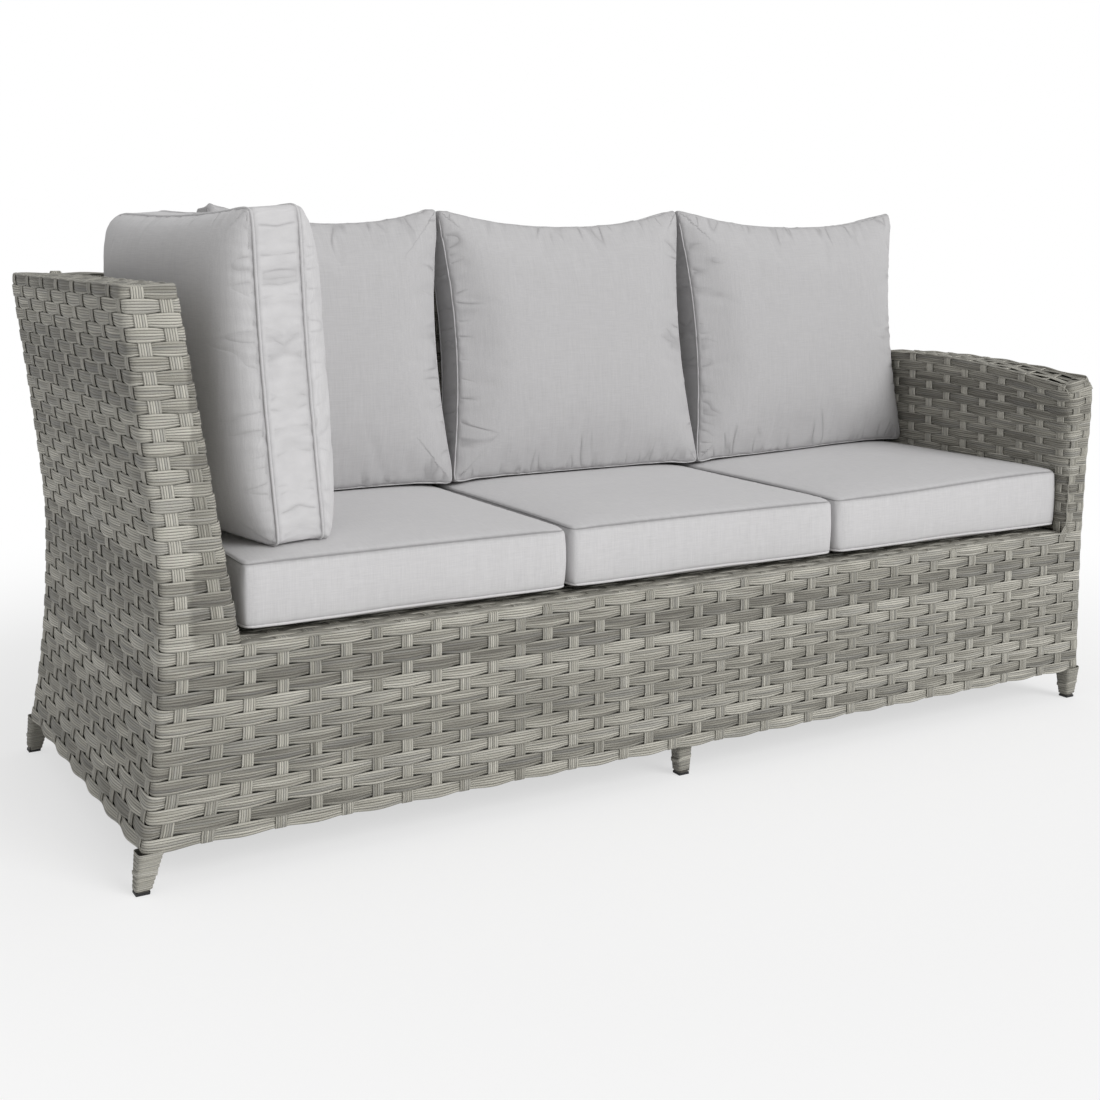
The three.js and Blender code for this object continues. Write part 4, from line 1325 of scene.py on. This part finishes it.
def cushion_body(node, turn, make):
    """A cushion's body from the frame's solid, with its two seams."""
    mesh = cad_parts[node].data.copy()
    mesh.materials.clear()
    piece = active_copy(mesh, node.replace("cushion", "pad"))
    bpy.ops.object.mode_set(mode="EDIT")
    bpy.ops.mesh.select_all(action="SELECT")
    bpy.ops.mesh.remove_doubles(threshold=0.00005)
    bpy.ops.mesh.tris_convert_to_quads()
    bpy.ops.mesh.select_all(action="DESELECT")
    bpy.ops.object.mode_set(mode="OBJECT")
    turned = np.array(turn)
    flat = places_of(mesh) @ turned
    low, high = band_levels(flat)
    on_seam = np.minimum(np.abs(flat[:, 2] - low), np.abs(flat[:, 2] - high)) < ON_SEAM
    around = 2 * np.ptp(flat[:, :2], axis=0).sum()
    loops = [seam_loop(flat, level, int(around / STITCH)) for level in (low, high)]
    flat, *loops = np.split(
        drawn_in(np.vstack([flat, *loops]), make), np.cumsum([len(flat), len(loops[0])])
    )
    # A taut band runs flat from seam to seam.
    for number in np.flatnonzero((flat[:, 2] > low + 0.001) & (flat[:, 2] < high - 0.001)):
        far = np.hypot(*(loops[1][:, :2] - flat[number, :2]).T)
        flat[number, :2] += (loops[1][far.argmin(), :2] - flat[number, :2]) * make["taut"]
    over = np.maximum(flat[:, 2] - high, 0)
    middle = (flat[:, 0].min() + flat[:, 0].max()) / 2
    forward = smooth_step(middle - flat[:, 0], -0.05, 0.15)
    flat[:, 2] -= over * (1 - make["crown"] - make["front_crown"] * forward)
    set_places(mesh, flat @ turned.T)
    crease = mesh.attributes.new("crease_edge", "FLOAT", "EDGE")
    ends = np.empty(len(mesh.edges) * 2, int)
    mesh.edges.foreach_get("vertices", ends)
    seam_edges = on_seam[ends.reshape(-1, 2)].all(axis=1)
    crease.data.foreach_set("value", seam_edges.astype(float))
    apply_modifier(piece, "round", "SUBSURF", levels=2, render_levels=2)
    apply_modifier(piece, "cells", "REMESH", mode="VOXEL", voxel_size=CUSHION_VOXEL)
    flat = places_of(piece.data) @ turned
    near, _ = nearest_seam(flat, loops)
    held = 1 - smooth_step(near, 0.004, 0.02)
    band = smooth_step(flat[:, 2], low - 0.004, low) * smooth_step(-flat[:, 2], -high - 0.004, -high)
    held = np.maximum(held, band * make["taut"])
    rest = low + 0.012 if make["lies"] else low - 0.012
    held = np.maximum(held, 1 - smooth_step(flat[:, 2], rest, rest + 0.02))
    swell(piece, held, make["pressure"], make["spare"])
    apply_modifier(piece, "smooth", "SUBSURF", levels=1, render_levels=1)
    return piece, loops, low, high


def lifted(places, flat, lift, low, high):
    """Raises a seat cushion's upper side towards the arm."""
    share = smooth_step(flat[:, 0], *LIFT_FROM_TO) * smooth_step(flat[:, 2], low, high)
    places[:, 2] += lift * share
    return places


def pressed(places):
    """Presses a seat cushion's end flat against the arm."""
    past = np.maximum(places[:, 0] - ARM_REACH + ARM_PRESS, 0)
    places[:, 0] -= past - ARM_PRESS * np.tanh(past / ARM_PRESS)
    return places


def build_cushion(node, turn, make, cloth_finish, cord_finishes, seats=()):
    piece, loops, low, high = cushion_body(node, turn, make)
    turned = np.array(turn)
    mesh = piece.data
    flat = places_of(mesh) @ turned
    near, along = nearest_seam(flat, loops)
    left, right = flat[:, 0].min(), flat[:, 0].max()
    front_share = smooth_step(-(2 * flat[:, 0] - left - right) / (right - left), 0.2, 1)
    upper = high + make["front"] * front_share
    inside = smooth_step(flat[:, 2], low, low + 0.006)
    inside *= smooth_step(-flat[:, 2], -upper, 0.006 - upper)
    on_face = (1 - inside) * np.exp(-near / 0.022) * smooth_step(near, 0, 0.006)
    depth = on_face * make["face_folds"] + inside * make["band_folds"]
    push = depth * puckers(along + near * 0.15, make["seed"])
    set_places(mesh, places_of(mesh) + vertex_normals(mesh) * push[:, None])
    if make["lift"]:
        set_places(mesh, lifted(places_of(mesh), flat, make["lift"], low, high))
        loops = [lifted(loop, loop, make["lift"], low, high) for loop in loops]
    if make["lies"]:
        set_places(mesh, pressed(places_of(mesh)))
        loops = [pressed(loop) for loop in loops]
    if seats:
        rest_on_seat(piece, seats, loops, turned)
    # Closeness to a seam, which the cloth's colour uses for painted shade along the seams.
    seam = mesh.attributes.new("seam", "FLOAT", "POINT")
    seam.data.foreach_set("value", np.exp(-((near / 0.0045) ** 2)))
    length = len(loops[0]) * STITCH
    start = smooth_step(np.minimum(along, length - along), 0.005, 0.04)
    strength = start * (make["creases"] + inside * (make["band_creases"] - make["creases"]))
    strength *= smooth_step(near, 0.006, 0.012)
    crease = mesh.attributes.new("crease_chart", "FLOAT_VECTOR", "POINT")
    # Each face and the band has creases of its own, which start a little off the seam.
    region = 2.7 * (flat[:, 2] > low) - 1.4 * (flat[:, 2] > upper)
    chart = np.stack([along + 5.3 * make["seed"] + region, near, strength], axis=1)
    crease.data.foreach_set("vector", chart.ravel())
    active_again(piece)
    bpy.ops.object.shade_smooth()
    mesh.materials.append(cloth_finish)
    keep(piece, node, "linen", node)
    surface = BVHTree.FromObject(piece, bpy.context.evaluated_depsgraph_get())
    sides = zip(("low", "high"), loops, make["cords"], cord_finishes)
    for side, loop, radius, cord_finish in sides:
        top = loop[:, 1].max()
        sunk = smooth_step(loop[:, 1], top - 0.05, top - 0.03) * make["sunk"]
        name = f"{piece.name}_{side}_piping"
        cord = seam_cord(name, loop @ turned.T, surface, radius, sunk, cord_finish)
        keep(cord, node, "linen")
    return surface


SEAT_MAKE = {
    "corners": (), "crown": 0.45, "lies": True, "pressure": 1.6, "spare": 0.0,
    "face_folds": 0.0004, "band_folds": 0.0004, "fill": 0.8, "cords": (0.0023, 0.0012), "lift": 0.0,
    "seed": 0, "taut": 0.0, "sag": 0.0, "waist": 0.0, "droop": 0.0, "front": 0.0,
    "front_crown": 0.0,
    "creases": 0.0, "band_creases": 0.10, "sunk": 0.0,
}
BACK_MAKE = dict(
    SEAT_MAKE, cords=(0.0015, 0.0015), crown=0.95, lies=False, pressure=3.4, spare=0.006, face_folds=0.0017,
    band_folds=0.0010, fill=0.6, taut=1.0, sag=0.015, waist=0.0006, creases=1.0,
    band_creases=0.7, sunk=0.9,
)
SIDE_MAKE = dict(
    BACK_MAKE, seed=11, band_folds=0.0008, cords=(0.0025, 0.0025), sag=0.004, waist=0.002, droop=0.016,
    front=0.020, front_crown=0.4, creases=0.55, band_creases=0.75, sunk=0.3,
)
SEAT_REACH = {"left": (-0.0005, 0.0015), "middle": (-0.006, 0.0013), "right": (-0.0062, 0.022)}
BACK_CORNERS = {
    "left": ((0, 0), (0.0185, 0), (0, 0.004), (0.0225, 0.002)),
    "middle": ((-0.0025, 0), (0.019, -0.004), (0.0005, 0.006), (0.013, 0.012)),
    "right": ((-0.003, 0), (0.010, 0), (-0.008, 0.012), (0.034, 0.012)),
}


def build_cushions():
    linen = linen_finish("linen")
    # A shaded copy of the linen, painted shade, for the back cushions.
    shaded_back_linen = linen_finish("shaded_back_linen", 0, 0.85)
    # A lit copy of the linen, painted light, for the side cushion, turned to lie along it.
    lit_side_linen = linen_finish("lit_side_linen", math.radians(-97.4), 1.02)
    cord = linen_finish("piping_linen", 0, 0.97)
    # Seat piping: a lit copy of the linen for the lower cord, painted highlight, and a shaded copy for the
    # upper cord, painted shade.
    seat_cords = (linen_finish("highlit_piping", 0, 1.08), linen_finish("shaded_piping", 0, 0.55))
    seats = []
    for number, (place, (left, right)) in enumerate(SEAT_REACH.items()):
        make = dict(SEAT_MAKE, seed=number, lift=0.012 if place == "right" else 0.0)
        make["corners"] = ((left, 0), (right, 0), (left, 0), (right, 0))
        seats.append(build_cushion(f"{place}_seat_cushion", SEAT_TURN, make, linen, seat_cords))
    for number, (place, moves) in enumerate(BACK_CORNERS.items()):
        make = dict(BACK_MAKE, seed=number + 5, corners=moves)
        build_cushion(f"{place}_back_cushion", BACK_TURN, make, shaded_back_linen, (cord, cord), seats)
    build_cushion("side_cushion", SIDE_TURN, SIDE_MAKE, lit_side_linen, (cord, cord), seats)


# ---- the legs' windings ----

WINDING_WIDTH = 0.0062
WINDING_PITCH = 0.0060
WINDING_FLARE = 0.0035


def square_ring(turns, half, centre, height):
    """Places round a leg with rounded corners, at the given turns."""
    c, s = np.cos(turns), np.sin(turns)
    x, y = (np.sign(t) * np.abs(t) ** 0.42 * half for t in (c, s))
    return np.stack([centre[:, 0] + x, centre[:, 1] + y, height], axis=1)


def leg_strands(node):
    """One strand wound round a leg from its cap up, another slanting over it."""
    points = corners(node)
    floor, top = points[:, 2].min(), points[:, 2].max()
    ends = [points[np.abs(points[:, 2] - z) < 0.001] for z in (floor, top)]
    middles = np.array([(end.min(axis=0) + end.max(axis=0)) / 2 for end in ends])
    halves = [np.ptp(end[:, 0]) / 2 for end in ends]

    def on_leg(turns, height, over):
        share = (height - floor) / (top - floor)
        centre = middles[0] + (middles[1] - middles[0]) * share[:, None]
        half = halves[0] + (halves[1] - halves[0]) * share + over
        line = square_ring(turns, half, centre, height)
        lean = 0.05 * (line - centre)[:, :2] / half[:, None]
        return line, np.column_stack([lean, np.ones(len(line))])

    rounds = (top - floor) / WINDING_PITCH
    turns = np.linspace(0, math.tau * rounds, int(rounds * 20)) + rng.uniform(0, math.tau)
    height = np.linspace(floor + WINDING_WIDTH / 2, top + WINDING_WIDTH / 2, len(turns))
    flare = WINDING_FLARE * (height - floor) / (top - floor)
    winding = on_leg(turns, height, flare - 0.0004)
    slant = np.linspace(0, math.tau, 22) + 0.6
    rising = floor + 0.45 * (top - floor) + 0.0045 * np.sin(slant + rng.uniform(2.0, 3.6))
    crossing = on_leg(slant, rising, 0.0022)
    return [
        strand_on(line, across, np.zeros(len(line)), WINDING_WIDTH, 0.0007)
        for line, across in (winding, crossing)
    ]


def build_windings(finish):
    for name in [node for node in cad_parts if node.endswith("_leg_binding")]:
        piece = joined(name.replace("binding", "winding"), leg_strands(name), finish)
        keep(piece, "sofa_frame", "rattan", name)


def dress_frame():
    """Puts the finishes on the frame's own tubes and caps."""
    coat, cap = coat_finish(), cap_finish()
    for name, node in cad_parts.items():
        if name.endswith(("_foot_cap", "_post", "_stile", "_rail", "_bar", "_leg")):
            node.data.materials.clear()
            node.data.materials.append(cap if name.endswith("_cap") else coat)


# A near-black colour: painted shade for the sofa's dark inside, seen through the gaps of the weave.
def shade_sheet_finish():
    finish = Finish("painted_shade", Roughness=0.9)
    place = finish.node("TexCoord", {}, out=3)
    cloud = finish.noise(place, 40, 2.0)
    finish.surface(Base_Color=finish.mix(cloud, (0.020, 0.019, 0.016), (0.032, 0.030, 0.026)))
    return finish.material


bpy.ops.object.select_all(action="DESELECT")
set_world()
add_camera()
add_lights()
add_floor()
dress_frame()
build_cushions()
rattan = rattan_finish()
build_weave(rattan)
build_windings(rattan_finish("leg_rattan", 2, 0.35, 0.22, EDGE_SHADE))
build_shade_sheets(shade_sheet_finish())
